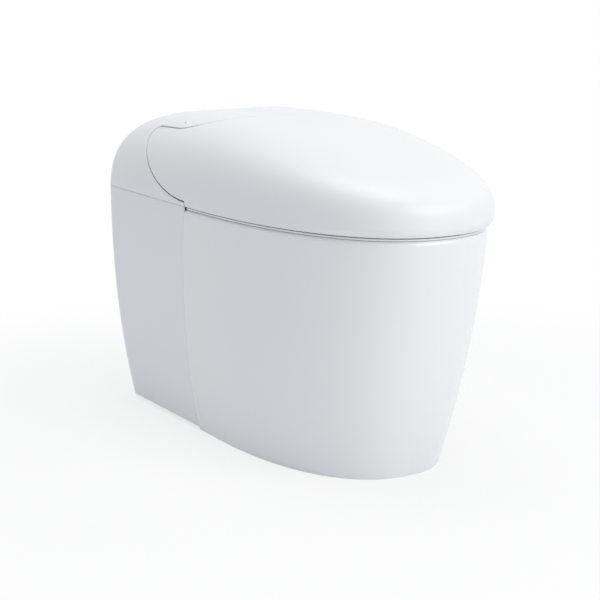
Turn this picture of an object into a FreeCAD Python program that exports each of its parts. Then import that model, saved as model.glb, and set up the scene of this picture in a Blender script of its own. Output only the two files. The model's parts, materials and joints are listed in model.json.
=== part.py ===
"""Floor-standing smart toilet with a heated seat, in millimetres.

+Z is up and the floor is z = 0. The wall is at +Y, the nose of the bowl points to -Y, and the
origin lies on the floor under the middle of the toilet's box.
"""
import FreeCAD, Part
import math
import os
import re
from FreeCAD import Vector

# ---------------------------------------------------------------- driving dimensions
# name, value, what it is
SIZES = [
    ("depth", 800, "wall to nose"),
    ("seam_level", 406, "height of the joint between bowl and lid or housing"),
    ("rim_level", 400, "top of the ceramic rim"),
    ("body_half_width", 208.5, "half width of the bowl's skirt at the top"),
    ("body_rear_half_width", 206.5, "half width at the wall, at the top"),
    ("foot_half_width", 164, "half width of the skirt at the floor"),
    ("foot_rear_half_width", 166, "half width at the wall, at the floor"),
    ("foot_front", 292.5, "from the origin forward to the skirt at the floor"),
    ("rim_setback", 6.5, "how far the skirt's top stays behind the lid's nose"),
    ("skirt_side_power", 2.3, "how early the skirt's sides flare"),
    ("skirt_front_power", 1.32, "how early the skirt's nose flares"),
    ("widest_top", 57, "y of the widest section at the top"),
    ("widest_foot", 36, "y of the widest section at the floor"),
    ("skirt_plan_along", 2.3, "superellipse power along Y of the skirt"),
    ("skirt_plan_across", 2.33, "superellipse power along X of the skirt"),
    ("body_corner", 35, "radius of the rear corners"),
    ("ceramic_wall", 14, "thickness of the skirt"),
    ("basin_wall", 12, "thickness of the basin"),
    ("rim_slab", 28, "thickness of the rim"),
    ("lid_half_width", 214.5, "half width of the lid and housing"),
    ("lid_rear_half_width", 205.5, "half width of the housing at the wall"),
    ("lid_widest", 200, "y of the widest section of lid and housing"),
    ("lid_plan_along", 2.54, "superellipse power along Y of the lid"),
    ("lid_plan_across", 2.78, "superellipse power along X of the lid"),
    ("lid_corner", 50, "radius of the housing's rear corners"),
    ("crown_height", 143, "height of the housing above the seam"),
    ("crown_fall", 0.136, "slope at which the lid falls towards the nose"),
    ("crown_break", 4, "y where the fall begins"),
    ("crown_blend", 62, "length of the blend from level to falling"),
    ("crown_centre", 160, "y of the pole of the crowned top"),
    ("lip_height", 15, "height of the curl at the nose"),
    ("lip_height_rear", 45, "height of the curl at the wall"),
    ("lid_wall", 4, "wall of lid and housing"),
    ("hinge_y", 230, "hinge line"),
    ("hinge_z", 505, "hinge line"),
    ("ear_arc_y", 67.4, "centre of the arc that parts lid and housing"),
    ("ear_arc_z", 638.4, "centre of the arc that parts lid and housing"),
    ("ear_arc", 225.2, "radius of that arc"),
    ("ear_back", 252, "y where the ears end"),
    ("ear_round", 20, "radius at the ears' ends"),
    ("toe_y", 72, "y of the housing's front toe and of the panel joint at the top"),
    ("toe_foot_y", 111, "y of the panel joint at the floor"),
    ("tongue_half_width", 163, "half width of the housing's tongue"),
    ("tongue_front", 105, "y of the tongue's front"),
    ("tongue_corner", 73, "radius of the tongue's front corners"),
    ("lid_gap", 3, "gap between lid and housing"),
    ("pocket", 31, "radius of the pocket in the housing round the ears' hubs"),
    ("shaft", 4, "radius of the hinge spindles"),
    ("running", 0.05, "radial clearance of a running fit"),
    ("seat_under", 404, "underside of the seat"),
    ("seat_over", 430, "highest line of the seat"),
    ("seat_setback", 8.5, "how far the seat stays inside the skirt's outline"),
    ("seat_rear", 64, "y of the rear edge of the seat"),
    ("seat_hole_half_width", 106, "half width of the seat's hole"),
    ("seat_hole_half_length", 138, "half length of the seat's hole"),
    ("seat_hole_y", -172, "centre of the seat's hole"),
    ("seat_shell", 4, "wall of the seat's top shell"),
    ("seat_plate", 4, "thickness of the seat's base plate"),
    ("arm_gap", 8, "gap between a seat arm and the housing"),
    ("arm_band", 12, "height of a seat arm"),
    ("arm_inner", 165, "x where a seat arm's hub begins"),
    ("arm_hub", 6, "thickness of a seat arm's hub"),
    ("arm_width", 23, "thickness of a seat arm low down"),
    ("hub_radius", 7, "radius of a seat arm's hub"),
    ("cheek_inner", 172.5, "x where a lid hub begins"),
    ("cheek_radius", 13, "radius of a lid hub"),
    ("basin_half_width", 128, "half width of the basin's mouth"),
    ("basin_half_length", 192, "half length of the basin's mouth"),
    ("basin_y", -148, "centre of the basin's mouth"),
    ("sump_floor", 84, "lowest point inside the basin"),
    ("trap_bore", 27, "radius of the trapway"),
    ("trap_wall", 9, "wall of the trapway"),
    ("trap_bend", 46, "radius of the trapway's bends"),
    ("horn_level", 19, "height of the trapway's outlet above the floor"),
    ("seal_width", 10, "thickness of the rubber seal round the outlet"),
    ("drain_radius", 37, "radius of the floor socket's drain bore"),
    ("socket_wall", 5, "wall of the floor socket"),
    ("socket_plate", 6, "thickness of the floor socket's plate"),
    ("bolt_x", 104, "x of the floor bolts"),
    ("bolt_back", 55, "from the floor outlet's centre back to the floor bolts"),
    ("bolt_hole", 5.5, "radius of the floor bolts' holes"),
    ("weir", 232, "height of the trapway's crown line"),
    ("rough_in", 305, "wall to the floor outlet's centre"),
    ("box_half_width", 134, "half width of the ceramic rear box"),
    ("box_wall", 14, "wall of the ceramic rear box"),
    ("deck", 352, "top of the ceramic deck"),
    ("deck_slab", 20, "thickness of the ceramic deck"),
    ("well_front", 30, "y of the front of the well that holds the chassis"),
    ("well_half_width", 152, "half width of that well"),
    ("shelf", 45, "top of the ceramic shelf under the tank"),
    ("panel_wall", 3, "wall of a side panel"),
    ("panel_lift", 5, "gap between a side panel and the floor"),
    ("seam_gap", 0.8, "gap along the fixed joints"),
    ("seat_fit", 0.3, "gap where one piece rests in or on another"),
    ("chassis_wall", 4, "thickness of the chassis tray"),
    ("chassis_half_width", 148, "half width of the chassis tray"),
    ("fascia_y", 42, "front of the fascia"),
    ("fascia_wall", 4, "thickness of the fascia"),
    ("fascia_half_width", 58, "half width of the fascia"),
    ("wand_slope", 15, "slope of the wand in degrees"),
    ("wand_port_z", 368, "height of the wand port"),
    ("wand_radius", 8, "radius of the wand"),
    ("wand_length", 214, "length of the wand with its tip"),
    ("wand_tip", 30, "length of the nozzle tip"),
    ("wand_travel", 100, "travel of the wand"),
    ("gear_module", 1, "module of rack and pinion"),
    ("gear_teeth", 14, "teeth of the pinion"),
    ("port_x", 36, "x of the dryer port and of the air intake"),
    ("port_half_width", 14, "half width of those ports"),
    ("port_height", 14, "height of those ports"),
    ("port_z", 364, "lower edge of those ports"),
    ("blower_x", 72, "x of the dryer blower and of the deodorizer"),
    ("blower_y", 165, "y of both"),
    ("blower_radius", 38, "radius of the dryer blower"),
    ("blower_height", 34, "height of the dryer blower"),
    ("filter_radius", 30, "radius of the deodorizer"),
    ("filter_height", 26, "height of the deodorizer"),
    ("fan_blades", 12, "blades of each fan"),
    ("tank_half_width", 112, "half width of the tank"),
    ("tank_front", 226, "y of the tank's front"),
    ("tank_back", 378, "y of the tank's back"),
    ("tank_top", 322, "top of the tank"),
    ("tank_wall", 4, "wall of the tank"),
    ("valve_x", -66, "x of the fill valve"),
    ("valve_y", 330, "y of the fill valve"),
    ("valve_radius", 13, "radius of the fill valve's column"),
    ("float_radius", 34, "radius of the float"),
    ("float_travel", 60, "travel of the float"),
    ("pump_x", 78, "x of the flush pump"),
    ("pump_y", 178, "y of the flush pump"),
    ("pump_radius", 33, "radius of the flush pump"),
    ("pump_height", 34, "height of the flush pump"),
    ("pipe_radius", 12, "outer radius of the jet pipe"),
    ("pipe_bore", 9, "bore of the jet pipe"),
    ("spud_z", 312, "height of the jet inlet in the ceramic"),
    ("drive_radius", 19, "radius of the hinge drives"),
    ("drive_length", 72, "length of a hinge drive"),
    ("frame_x", 146, "inner face of a hinge upright"),
    ("frame_wall", 7, "thickness of a hinge upright"),
    ("inlet_radius", 10.48, "radius of the half-inch supply union"),
    ("inlet_x", -62, "x of the supply union"),
    ("inlet_z", 380, "height of the supply union"),
    ("lens_x", -148, "x of the indicator lens"),
    ("lens_y", 182, "y of the indicator lens"),
    ("lens_radius", 1.8, "radius of the indicator lens"),
]

doc = FreeCAD.newDocument("Toilet")
sheet = doc.addObject("Spreadsheet::Sheet", "Sizes")
for row, (alias, value, meaning) in enumerate(SIZES, start=1):
    sheet.set("A%d" % row, alias)
    sheet.set("B%d" % row, str(value))
    sheet.set("C%d" % row, meaning)
    sheet.setAlias("B%d" % row, alias)
doc.recompute()
ALIASES = re.compile(r"\b(" + "|".join(alias for alias, _, _ in SIZES) + r")\b")


def size(alias):
    """The value of one cell, for shapes that are set in code."""
    return float(sheet.get(alias))


def bind(obj, prop, text):
    """Bind a property to an expression in which sizes go by their names."""
    obj.setExpression(prop, ALIASES.sub(r"Sizes.\1", text))


# ---------------------------------------------------------------- document helpers
NODES = {}


def node(name, obj):
    """Register an object as one finished piece."""
    obj.Label = name
    NODES[name] = obj
    return obj


def place(obj, x, y, z):
    for axis, text in (("x", x), ("y", y), ("z", z)):
        bind(obj, ".Placement.Base." + axis, str(text))


def box(name, x, y, z):
    """A block between two expressions along each axis."""
    obj = doc.addObject("Part::Box", name)
    for prop, (low, high) in (("Length", x), ("Width", y), ("Height", z)):
        bind(obj, prop, "(%s) - (%s)" % (high, low))
    place(obj, x[0], y[0], z[0])
    return obj


TURN = {
    "x": FreeCAD.Rotation(Vector(0, 1, 0), 90),
    "y": FreeCAD.Rotation(Vector(1, 0, 0), -90),
    "z": FreeCAD.Rotation(),
}


def cylinder(name, axis, radius, low, high, a, b):
    """A cylinder along an axis from low to high; a and b place it on the other two axes."""
    obj = doc.addObject("Part::Cylinder", name)
    bind(obj, "Radius", str(radius))
    bind(obj, "Height", "(%s) - (%s)" % (high, low))
    spot = {"x": (low, a, b), "y": (a, low, b), "z": (a, b, low)}[axis]
    obj.Placement = FreeCAD.Placement(Vector(), TURN[axis])
    place(obj, *spot)
    return obj


def cut(name, base, *tools):
    for number, tool in enumerate(tools):
        obj = doc.addObject("Part::Cut", name if number == len(tools) - 1 else name + "_step")
        obj.Base = base
        obj.Tool = tool
        base = obj
    return base


def fuse(name, *parts):
    obj = doc.addObject("Part::MultiFuse", name)
    obj.Shapes = list(parts)
    return obj


def common(name, *parts):
    obj = doc.addObject("Part::MultiCommon", name)
    obj.Shapes = list(parts)
    return obj


def group(name, *parts):
    """Separate solids that go by one name."""
    obj = doc.addObject("Part::Compound", name)
    obj.Links = list(parts)
    return obj


def shaped(name, shape):
    obj = doc.addObject("Part::Feature", name)
    obj.Shape = shape
    return obj


def mirrored(name, source):
    """The same piece on the other side of the middle plane."""
    obj = doc.addObject("Part::Mirroring", name)
    obj.Source = source
    obj.Normal = Vector(1, 0, 0)
    return obj


def ring(name, axis, outer, inner, low, high, a, b):
    """A tube along an axis."""
    rod = cylinder(name + "_rod", axis, outer, low, high, a, b)
    bore = cylinder(name + "_bore", axis, inner, "(%s) - 1" % low, "(%s) + 1" % high, a, b)
    return cut(name, rod, bore)


def extruded(name, outline, x_low, x_high):
    """A closed outline of edges in the YZ plane, extruded along X."""
    profile = shaped(name + "_outline", Part.Face(Part.Wire(outline)))
    obj = doc.addObject("Part::Extrusion", name)
    obj.Base = profile
    obj.DirMode = "Custom"
    obj.Dir = Vector(1, 0, 0)
    obj.Solid = True
    bind(obj, "LengthFwd", x_high)
    bind(obj, "LengthRev", "-(%s)" % x_low)
    return obj


def polyline(points):
    return [Part.LineSegment(p, q).toShape() for p, q in zip(points, points[1:])]


# ---------------------------------------------------------------- crowned and flared forms
FRONT_STEPS = 11
CORNER_STEPS = 4


def half_outline(half_width, front, widest, rear_half_width, rear, along, across, corner):
    """Points of the right half of a plan outline, from the rear middle to the nose.

    The nose is a superellipse from the widest section forward. Behind it the side draws in by
    the fourth power to the rear half width, and a round corner leads to the flat rear.
    """
    def side(y):
        share = (y - widest) / (rear - widest)
        return half_width - (half_width - rear_half_width) * share ** 4

    flat_end = side(rear - corner) - corner
    points = [(flat_end * i / 3.0, rear) for i in range(3)]
    for i in range(CORNER_STEPS + 1):
        turn = math.pi / 2 * (1 - i / CORNER_STEPS)
        points.append((flat_end + corner * math.cos(turn), rear - corner + corner * math.sin(turn)))
    for i in (1, 2, 3):
        y = rear - corner - (rear - corner - widest) * i / 4.0
        points.append((side(y), y))
    for i in range(FRONT_STEPS + 1):
        turn = math.pi / 2 * (1 - i / FRONT_STEPS)
        y = widest - (widest - front) * math.cos(turn) ** (2 / along)
        points.append((half_width * math.sin(turn) ** (2 / across), y))
    points[-1] = (0.0, front)
    return points


def whole_outline(half):
    """The right half followed by its mirror image, back to the start."""
    return half + [(-x, y) for x, y in reversed(half[:-1])]


def shares(lines):
    """Average share of the way along a set of point lines, from 0 to 1, at each point."""
    total = [0.0] * len(lines[0])
    for line in lines:
        way = [0.0]
        for p, q in zip(line, line[1:]):
            way.append(way[-1] + p.distanceToPoint(q))
        total = [t + w / way[-1] for t, w in zip(total, way)]
    return [t / len(lines) for t in total]


def spline_surface(rows):
    """A smooth surface through rows of points, each a closed loop that ends where it starts."""
    around = shares([row for row in rows if row[0].distanceToPoint(row[len(row) // 3]) > 1])
    upward = shares([list(column) for column in zip(*rows)])
    loop_poles = []
    for row in rows:
        if row[0].distanceToPoint(row[len(row) // 3]) > 1:
            loop = Part.BSplineCurve()
            loop.interpolate(Points=row[:-1], PeriodicFlag=True, Parameters=around)
            loop_poles.append(loop.getPoles())
        else:
            loop_poles.append([row[0]] * len(loop_poles[0]))
    poles = []
    for column in zip(*loop_poles):
        rise = Part.BSplineCurve()
        rise.interpolate(Points=list(column), Parameters=upward)
        poles.append(rise.getPoles())
    surface = Part.BSplineSurface()
    surface.buildFromPolesMultsKnots([list(row) for row in zip(*poles)],
                                     rise.getMultiplicities(), loop.getMultiplicities(),
                                     rise.getKnots(), loop.getKnots(), False, True,
                                     rise.Degree, loop.Degree)
    return surface


def form_solid(rows):
    """A solid whose side is one spline surface through rows of points, each a closed loop.

    The surface is split along the middle plane. The ends are flat faces, except that a last
    row drawn together in one point closes the form by itself.
    """
    surface = spline_surface(rows)
    u_low, u_high, v_low, v_high = surface.bounds()
    middle = (v_low + v_high) / 2
    faces = [surface.toShape(u_low, u_high, low, high) for low, high in ((v_low, middle), (middle, v_high))]
    ends = [rows[0]]
    if rows[-1][0].distanceToPoint(rows[-1][len(rows[-1]) // 3]) > 1:
        ends.append(rows[-1])
    for loop in ends:
        rim = [edge for face in faces[:2] for edge in face.Edges
               if edge.Length > 1 and abs(edge.CenterOfMass.z - loop[0].z) < 1e-3
               and edge.BoundBox.ZLength < 1e-3]
        faces.append(Part.Face(Part.Wire(Part.__sortEdges__(rim))))
    shell = Part.makeShell(faces)
    shell.sewShape()
    solid = Part.Solid(Part.Shell(shell.Faces))
    if solid.Volume < 0:
        solid.reverse()
    return solid


def crown(y):
    """Height of the crowned top above the seam: level at the rear, falling to the nose."""
    ahead = y - size("crown_break")
    blend = size("crown_blend")
    return size("crown_height") - size("crown_fall") / 2 * (math.hypot(ahead, blend) - ahead)


# angles of the section's points, in degrees from the seam up to the pole
DOME_ANGLES = (0, 3, 8, 16, 26, 35, 42, 48, 55, 64, 74, 83, 90)


def dome(inset, below=0):
    """The form of lid and housing together, drawn in by an inset.

    Each section from the rim to the pole is a superellipse whose powers change from the wall
    to the nose, and the lowest stretch curls in to meet the skirt's outline. A form to cut with
    starts lower down.
    """
    rear = size("depth") / 2
    half = half_outline(size("lid_half_width") - inset, -rear + inset, size("lid_widest"),
                        size("lid_rear_half_width") - inset, rear - inset,
                        size("lid_plan_along"), size("lid_plan_across"), size("lid_corner") - inset)
    outline = whole_outline(half)
    skirt = skirt_rows([(size("seam_level"), 0)], inset)[0]
    pole_y = size("crown_centre")
    columns = []
    for i, (x, y) in enumerate(outline):
        ahead = (rear - y) / (2 * rear)
        across = 2 / (0.56 - 0.12 * ahead)
        upward = 2 / (0.87 - 0.44 * ahead)
        curl_x, curl_y = skirt[i].x - x, skirt[i].y - y
        blend = min(1.0, max(0.0, (y - 20) / 160.0))
        curl_height = size("lip_height") + (size("lip_height_rear") - size("lip_height")) * blend
        column = []
        if below:
            column.append(Vector(x + curl_x, y + curl_y, size("seam_level") - below))
        for angle in DOME_ANGLES:
            out, up = section_point(math.radians(angle), across, upward)
            spot_y = pole_y + out * (y - pole_y)
            rise = up * (crown(spot_y) - inset)
            drawn = max(0.0, 1 - rise / curl_height) ** 2
            column.append(Vector(out * x + curl_x * drawn, spot_y + curl_y * drawn,
                                 size("seam_level") + rise))
        columns.append(column)
    rows = [[column[j] for column in columns] for j in range(len(columns[0]))]
    return form_solid(rows)


def section_point(angle, across, upward):
    """Where a ray at an angle meets out**across + up**upward = 1."""
    if angle < 1e-9:
        return 1.0, 0.0
    if angle > math.pi / 2 - 1e-9:
        return 0.0, 1.0
    slope = math.tan(angle)
    low, high = 0.0, 1.0
    for _ in range(50):
        out = (low + high) / 2
        if out ** across + (out * slope) ** upward > 1:
            high = out
        else:
            low = out
    return out, out * slope


def skirt_rows(levels, inset):
    """Rows of the flared pedestal: pairs of a height and a further inset, drawn in by an inset."""
    rear = size("depth") / 2
    rows = []
    for level, more in levels:
        share = min(1.0, max(0.0, level / size("seam_level")))
        side = 1 - (1 - share) ** size("skirt_side_power")
        nose = 1 - (1 - share) ** size("skirt_front_power")
        off = inset + more
        foot_front = -size("foot_front")
        front = foot_front + (-rear + size("rim_setback") - foot_front) * nose
        width = size("foot_half_width") + (size("body_half_width") - size("foot_half_width")) * side
        rear_width = size("foot_rear_half_width")
        rear_width += (size("body_rear_half_width") - size("foot_rear_half_width")) * side
        widest = size("widest_foot") + (size("widest_top") - size("widest_foot")) * share
        half = half_outline(width - off, front + off, widest, rear_width - off, rear - off,
                            size("skirt_plan_along"), size("skirt_plan_across"),
                            size("body_corner") - inset)
        rows.append([Vector(x, y, level) for x, y in whole_outline(half)])
    return rows


def oval_rows(sections):
    """Rows of a basin: each section is a height, half width, half length, centre y and power."""
    steps = 24
    rows = []
    for level, half_width, half_length, centre, power in sections:
        row = []
        for i in range(steps + 1):
            turn = 2 * math.pi * i / steps
            c, s = math.cos(turn), math.sin(turn)
            x = half_width * math.copysign(abs(s) ** (2 / power), s)
            y = centre + half_length * math.copysign(abs(c) ** (2 / power), c)
            row.append(Vector(x if abs(x) > 1e-9 else 0, y, level))
        rows.append(row)
    return rows


SKIRT_LEVELS = (0, 50, 115, 185, 260, 335)

# ---------------------------------------------------------------- regions that part lid and housing
FAR = 520
LOW = 300
HIGH = 700


def housing_region(name, back):
    """Everything behind the ear arc, and the tongue, with their limits moved back by an amount."""
    radius = size("ear_arc") + back
    small = size("ear_round") + back
    arc_y, arc_z = size("ear_arc_y"), size("ear_arc_z")
    end_y = size("ear_back") + back
    toe = size("toe_y") + back
    centre_y = end_y - small
    drop = math.sqrt((radius - small) ** 2 - (centre_y - arc_y) ** 2)
    centre_z = arc_z - drop
    to_y, to_z = (centre_y - arc_y) / (radius - small), -drop / (radius - small)
    meet = Vector(0, arc_y + radius * to_y, arc_z + radius * to_z)
    start = Vector(0, toe, arc_z - math.sqrt(radius ** 2 - (toe - arc_y) ** 2))
    half_way = (math.atan2(start.z - arc_z, start.y - arc_y) + math.atan2(to_z, to_y)) / 2
    middle = Vector(0, arc_y + radius * math.cos(half_way), arc_z + radius * math.sin(half_way))
    half_turn = math.atan2(to_z, to_y) / 2
    knuckle = Vector(0, centre_y + small * math.cos(half_turn), centre_z + small * math.sin(half_turn))
    top = Vector(0, end_y, centre_z)
    edges = [Part.Arc(start, middle, meet).toShape(), Part.Arc(meet, knuckle, top).toShape()]
    edges += polyline([top, Vector(0, end_y, HIGH), Vector(0, FAR, HIGH), Vector(0, FAR, LOW),
                       Vector(0, toe, LOW), start])
    sides = extruded(name + "_sides", edges, "-300", "300")
    move = "(%s)" % back
    tongue = doc.addObject("Part::Box", name + "_tongue")
    bind(tongue, "Length", "2 * (tongue_half_width - %s)" % move)
    bind(tongue, "Width", "%d - tongue_front - %s" % (FAR, move))
    bind(tongue, "Height", "%d" % (HIGH - LOW))
    place(tongue, "-tongue_half_width + %s" % move, "tongue_front + %s" % move, LOW)
    doc.recompute()
    rounded = doc.addObject("Part::Fillet", name + "_tongue_round")
    rounded.Base = tongue
    corner = size("tongue_corner") - back
    edges = [(i + 1, corner, corner) for i, edge in enumerate(tongue.Shape.Edges)
             if edge.BoundBox.ZLength > 100 and edge.BoundBox.YMax < size("tongue_front") + back + 1]
    rounded.Edges = edges
    return fuse(name, sides, rounded)


# ---------------------------------------------------------------- lid and rear housing
outer_form = shaped("lid_and_housing_outside", dome(0))
inner_form = shaped("lid_and_housing_inside", dome(size("lid_wall"), below=4))
hub_form = shaped("hub_limit", dome(size("lid_wall") + 1.6, below=4))
pocket_form = shaped("pocket_limit", dome(size("lid_wall") - 1.6, below=4))

housing_outside = common("housing_outside", outer_form, housing_region("housing_region", 0))
wall_region = housing_region("housing_wall_region", size("lid_wall"))
PIVOT = ("hinge_y", "hinge_z")


def both_sides(name, solid):
    return group(name, solid, mirrored(name + "_left", solid))


pocket_liner = both_sides("pocket_liners", cylinder(
    "pocket_liner", "x", "pocket + lid_wall", "tongue_half_width - lid_wall", "220", *PIVOT))
pocket_room = both_sides("pocket_rooms", cylinder(
    "pocket_room", "x", "pocket", "tongue_half_width", "220", *PIVOT))
housing_inside = common("housing_inside", inner_form, cut("housing_room", wall_region, pocket_liner))
hub_room = common("hub_room", pocket_form, pocket_room)
rear_window = box("rear_window", ("-112", "112"), ("depth / 2 - 60", "depth / 2 + 10"),
                  ("seam_level - 10", "seam_level + 40"))
spindle_holes = cylinder("spindle_holes", "x", "shaft + 0.5", "-180", "180", *PIVOT)
lens_hole = cylinder("lens_hole", "z", "lens_radius + 0.1", "seam_level + 60", "seam_level + 200",
                     "lens_x", "lens_y")
cover_shell = cut("cover_shell", housing_outside, housing_inside, hub_room)
POSTS = (("frame_x + 3.5", "hinge_y - 15", "3.5", "hinge_z + 16 + seat_fit"),
         ("frame_x + 3.5", "hinge_y + 15", "3.5", "hinge_z + 16 + seat_fit"),
         ("133", "358", "6", "deck + 2 * seat_fit + chassis_wall"))
cover_posts = [both_sides("cover_post_%d" % i, common("cover_post_side_%d" % i, outer_form, cylinder(
    "cover_post_rod_%d" % i, "z", radius, low, "600", x, y))) for i, (x, y, radius, low) in enumerate(POSTS)]
cover_body = fuse("cover_body", cover_shell, *cover_posts)
node("housing_cover", cut("housing_cover_cut", cover_body, rear_window, spindle_holes, lens_hole))

lid_shell = cut("lid_shell", outer_form, inner_form, housing_region("lid_region", -size("lid_gap")))
cheeks = both_sides("cheek_rods", cylinder("cheek_rod", "x", "cheek_radius", "cheek_inner", "206", *PIVOT))
lid_hubs = common("lid_hubs", cheeks, hub_form)
ears_inside = cut("ears_inside", common("ear_fill", both_sides(
    "ear_rods", cylinder("ear_rod", "x", "cheek_radius", "cheek_inner", "206", *PIVOT)), outer_form),
    housing_region("ear_region", -size("lid_gap")))
BUMPER_XY = (("170", "-120"), ("-170", "-120"), ("105", "-315"), ("-105", "-315"))
lid_posts = [common("lid_post_%d" % i, outer_form,
                    cylinder("lid_post_rod_%d" % i, "z", "7", "seat_over + 5", "600", x, y))
             for i, (x, y) in enumerate(BUMPER_XY)]
lid_body = fuse("lid_body", lid_shell, lid_hubs, ears_inside, *lid_posts)
lid_bore = cylinder("lid_bore", "x", "shaft + running", "-cheek_inner - 6", "cheek_inner + 6", *PIVOT)
node("lid", cut("lid_cut", lid_body, lid_bore))
node("lid_bumpers", group("lid_bumper_group", *[
    cylinder("lid_bumper_%d" % i, "z", "6", "seat_over + 1", "seat_over + 5", x, y)
    for i, (x, y) in enumerate(BUMPER_XY)]))

# ---------------------------------------------------------------- seat

def seat_block(name, inset, low, high):
    """The seat's outline as a block, drawn in by an inset and cut off at the seat's rear."""
    whole = shaped(name + "_form", form_solid(skirt_rows_at_rim([(low, 0), (high, 0)], inset)))
    return cut(name, whole, box(name + "_behind", ("-300", "300"),
                                ("seat_rear - %s" % (inset - size("seat_setback")), "600"),
                                ("seat_under - 50", "seat_over + 50")))


def skirt_rows_at_rim(levels, inset):
    """The skirt's outline at the rim, raised to other levels: pairs of a height and an inset."""
    rows = []
    for level, more in levels:
        row = skirt_rows([(size("seam_level"), more)], inset)[0]
        rows.append([Vector(point.x, point.y, level) for point in row])
    return rows


def seat_hole(name, grow, low, high, flare):
    """The seat's hole as a solid, wider by an amount, and flared at its upper end."""
    half_width = size("seat_hole_half_width") + grow
    half_length = size("seat_hole_half_length") + grow
    centre = size("seat_hole_y")
    rows = oval_rows([(low, half_width, half_length, centre, 2.3),
                      (high - 11, half_width, half_length, centre, 2.3),
                      (high - 4, half_width + 0.35 * flare, half_length + 0.35 * flare, centre, 2.3),
                      (high, half_width + flare, half_length + flare, centre, 2.3)])
    return shaped(name, form_solid(rows))


SEAT_LOW, SEAT_HIGH = size("seat_under"), size("seat_over")
seat_form = shaped("seat_form", form_solid(skirt_rows_at_rim(
    [(SEAT_LOW, 1.5), (SEAT_LOW + 3, 0), (SEAT_LOW + 11, 0), (SEAT_LOW + 18, 1.6), (SEAT_LOW + 23, 6.5),
     (SEAT_HIGH, 17)], size("seat_setback"))))
seat_behind = box("seat_behind", ("-300", "300"), ("seat_rear", "600"), ("seat_under - 50", "seat_over + 50"))
seat_hollow = cut("seat_hollow",
                  seat_block("seat_room", size("seat_setback") + size("seat_shell"), SEAT_LOW - 5,
                             SEAT_HIGH - size("seat_shell")),
                  seat_hole("seat_hole_wall", size("seat_shell"), SEAT_LOW - 10, SEAT_HIGH + 5, 0),
                  box("seat_rear_bar", ("-300", "300"), ("seat_rear - 22", "600"),
                      ("seat_under - 50", "seat_over + 50")))


def arm_outline():
    """Side view of a seat arm: level under the seat's rear, then an arc that follows the ear seam."""
    arc_y, arc_z = size("ear_arc_y"), size("ear_arc_z")
    outer = size("ear_arc") - size("arm_gap")
    inner = outer - size("arm_band")
    end = math.atan2(size("hinge_z") - arc_z, size("hinge_y") - arc_y)
    start = -math.pi / 2
    middle = (start + end) / 2

    def spot(radius, turn):
        return Vector(0, arc_y + radius * math.cos(turn), arc_z + radius * math.sin(turn))

    ahead = size("seat_rear") - 24
    low, high = Vector(0, ahead, arc_z - outer), Vector(0, ahead, arc_z - inner)
    return (polyline([high, low, spot(outer, start)])
            + [Part.Arc(spot(outer, start), spot(outer, middle), spot(outer, end)).toShape()]
            + polyline([spot(outer, end), spot(inner, end)])
            + [Part.Arc(spot(inner, end), spot(inner, middle), spot(inner, start)).toShape()]
            + polyline([spot(inner, start), high]))


arm_thin = extruded("arm_thin", arm_outline(), "arm_inner", "arm_inner + arm_hub")
arm_thick = cut("arm_thick", extruded("arm_wide", arm_outline(), "arm_inner", "arm_inner + arm_width"),
                box("arm_thick_end", ("150", "220"), ("hinge_y - 75", "300"), ("380", "560")))
arm_eye = cylinder("arm_eye", "x", "hub_radius", "arm_inner", "arm_inner + arm_hub", *PIVOT)
arms = both_sides("arms", fuse("arm", arm_thin, arm_thick, arm_eye))
seat_solid = fuse("seat_solid", cut("seat_crown", seat_form, seat_behind), arms)
node("seat", cut("seat_cut", seat_solid, seat_hollow,
                 seat_hole("seat_mouth", 0, SEAT_LOW - 10, SEAT_HIGH + 1, 9),
                 cylinder("seat_bore", "x", "shaft + running", "-220", "220", *PIVOT)))
inner_fit = size("seat_setback") + size("seat_shell") + size("seat_fit")
node("seat_base", cut("seat_base_cut", seat_block("seat_plate_block", inner_fit, SEAT_LOW,
                                                  SEAT_LOW + size("seat_plate")),
                      seat_hole("seat_plate_hole", size("seat_shell") + size("seat_fit"), SEAT_LOW - 5,
                                SEAT_HIGH, 0),
                      box("seat_plate_end", ("-300", "300"), ("seat_rear - 22.3", "600"), ("390", "450"))))
mat_top = SEAT_HIGH - size("seat_shell") - 0.2
node("seat_heater", cut("seat_heater_cut", seat_block("heater_block", inner_fit + 8, mat_top - 0.6, mat_top),
                        seat_hole("heater_hole", size("seat_shell") + 8, SEAT_LOW - 5, SEAT_HIGH, 0),
                        box("heater_end", ("-300", "300"), ("seat_rear - 60", "600"), ("390", "450"))))
PAD_XY = (("162", "-60"), ("-162", "-60"), ("98", "-322"), ("-98", "-322"))
node("seat_bumpers", group("seat_bumper_group", *[
    cylinder("seat_bumper_%d" % i, "z", "8", "rim_level + seat_fit", "seat_under", x, y)
    for i, (x, y) in enumerate(PAD_XY)]))
SPINDLE = ("frame_x - 19.5", "cheek_inner + 5.5")
node("seat_spindle", cylinder("seat_spindle_rod", "x", "shaft", *SPINDLE, *PIVOT))
node("lid_spindle", mirrored("lid_spindle_rod", cylinder("lid_spindle_side", "x", "shaft", *SPINDLE, *PIVOT)))

# ---------------------------------------------------------------- ceramic bowl


def seam_y(level):
    """y of the joint between bowl and side panel at a height."""
    share = level / size("seam_level")
    return size("toe_foot_y") + (size("toe_y") - size("toe_foot_y")) * share


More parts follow.
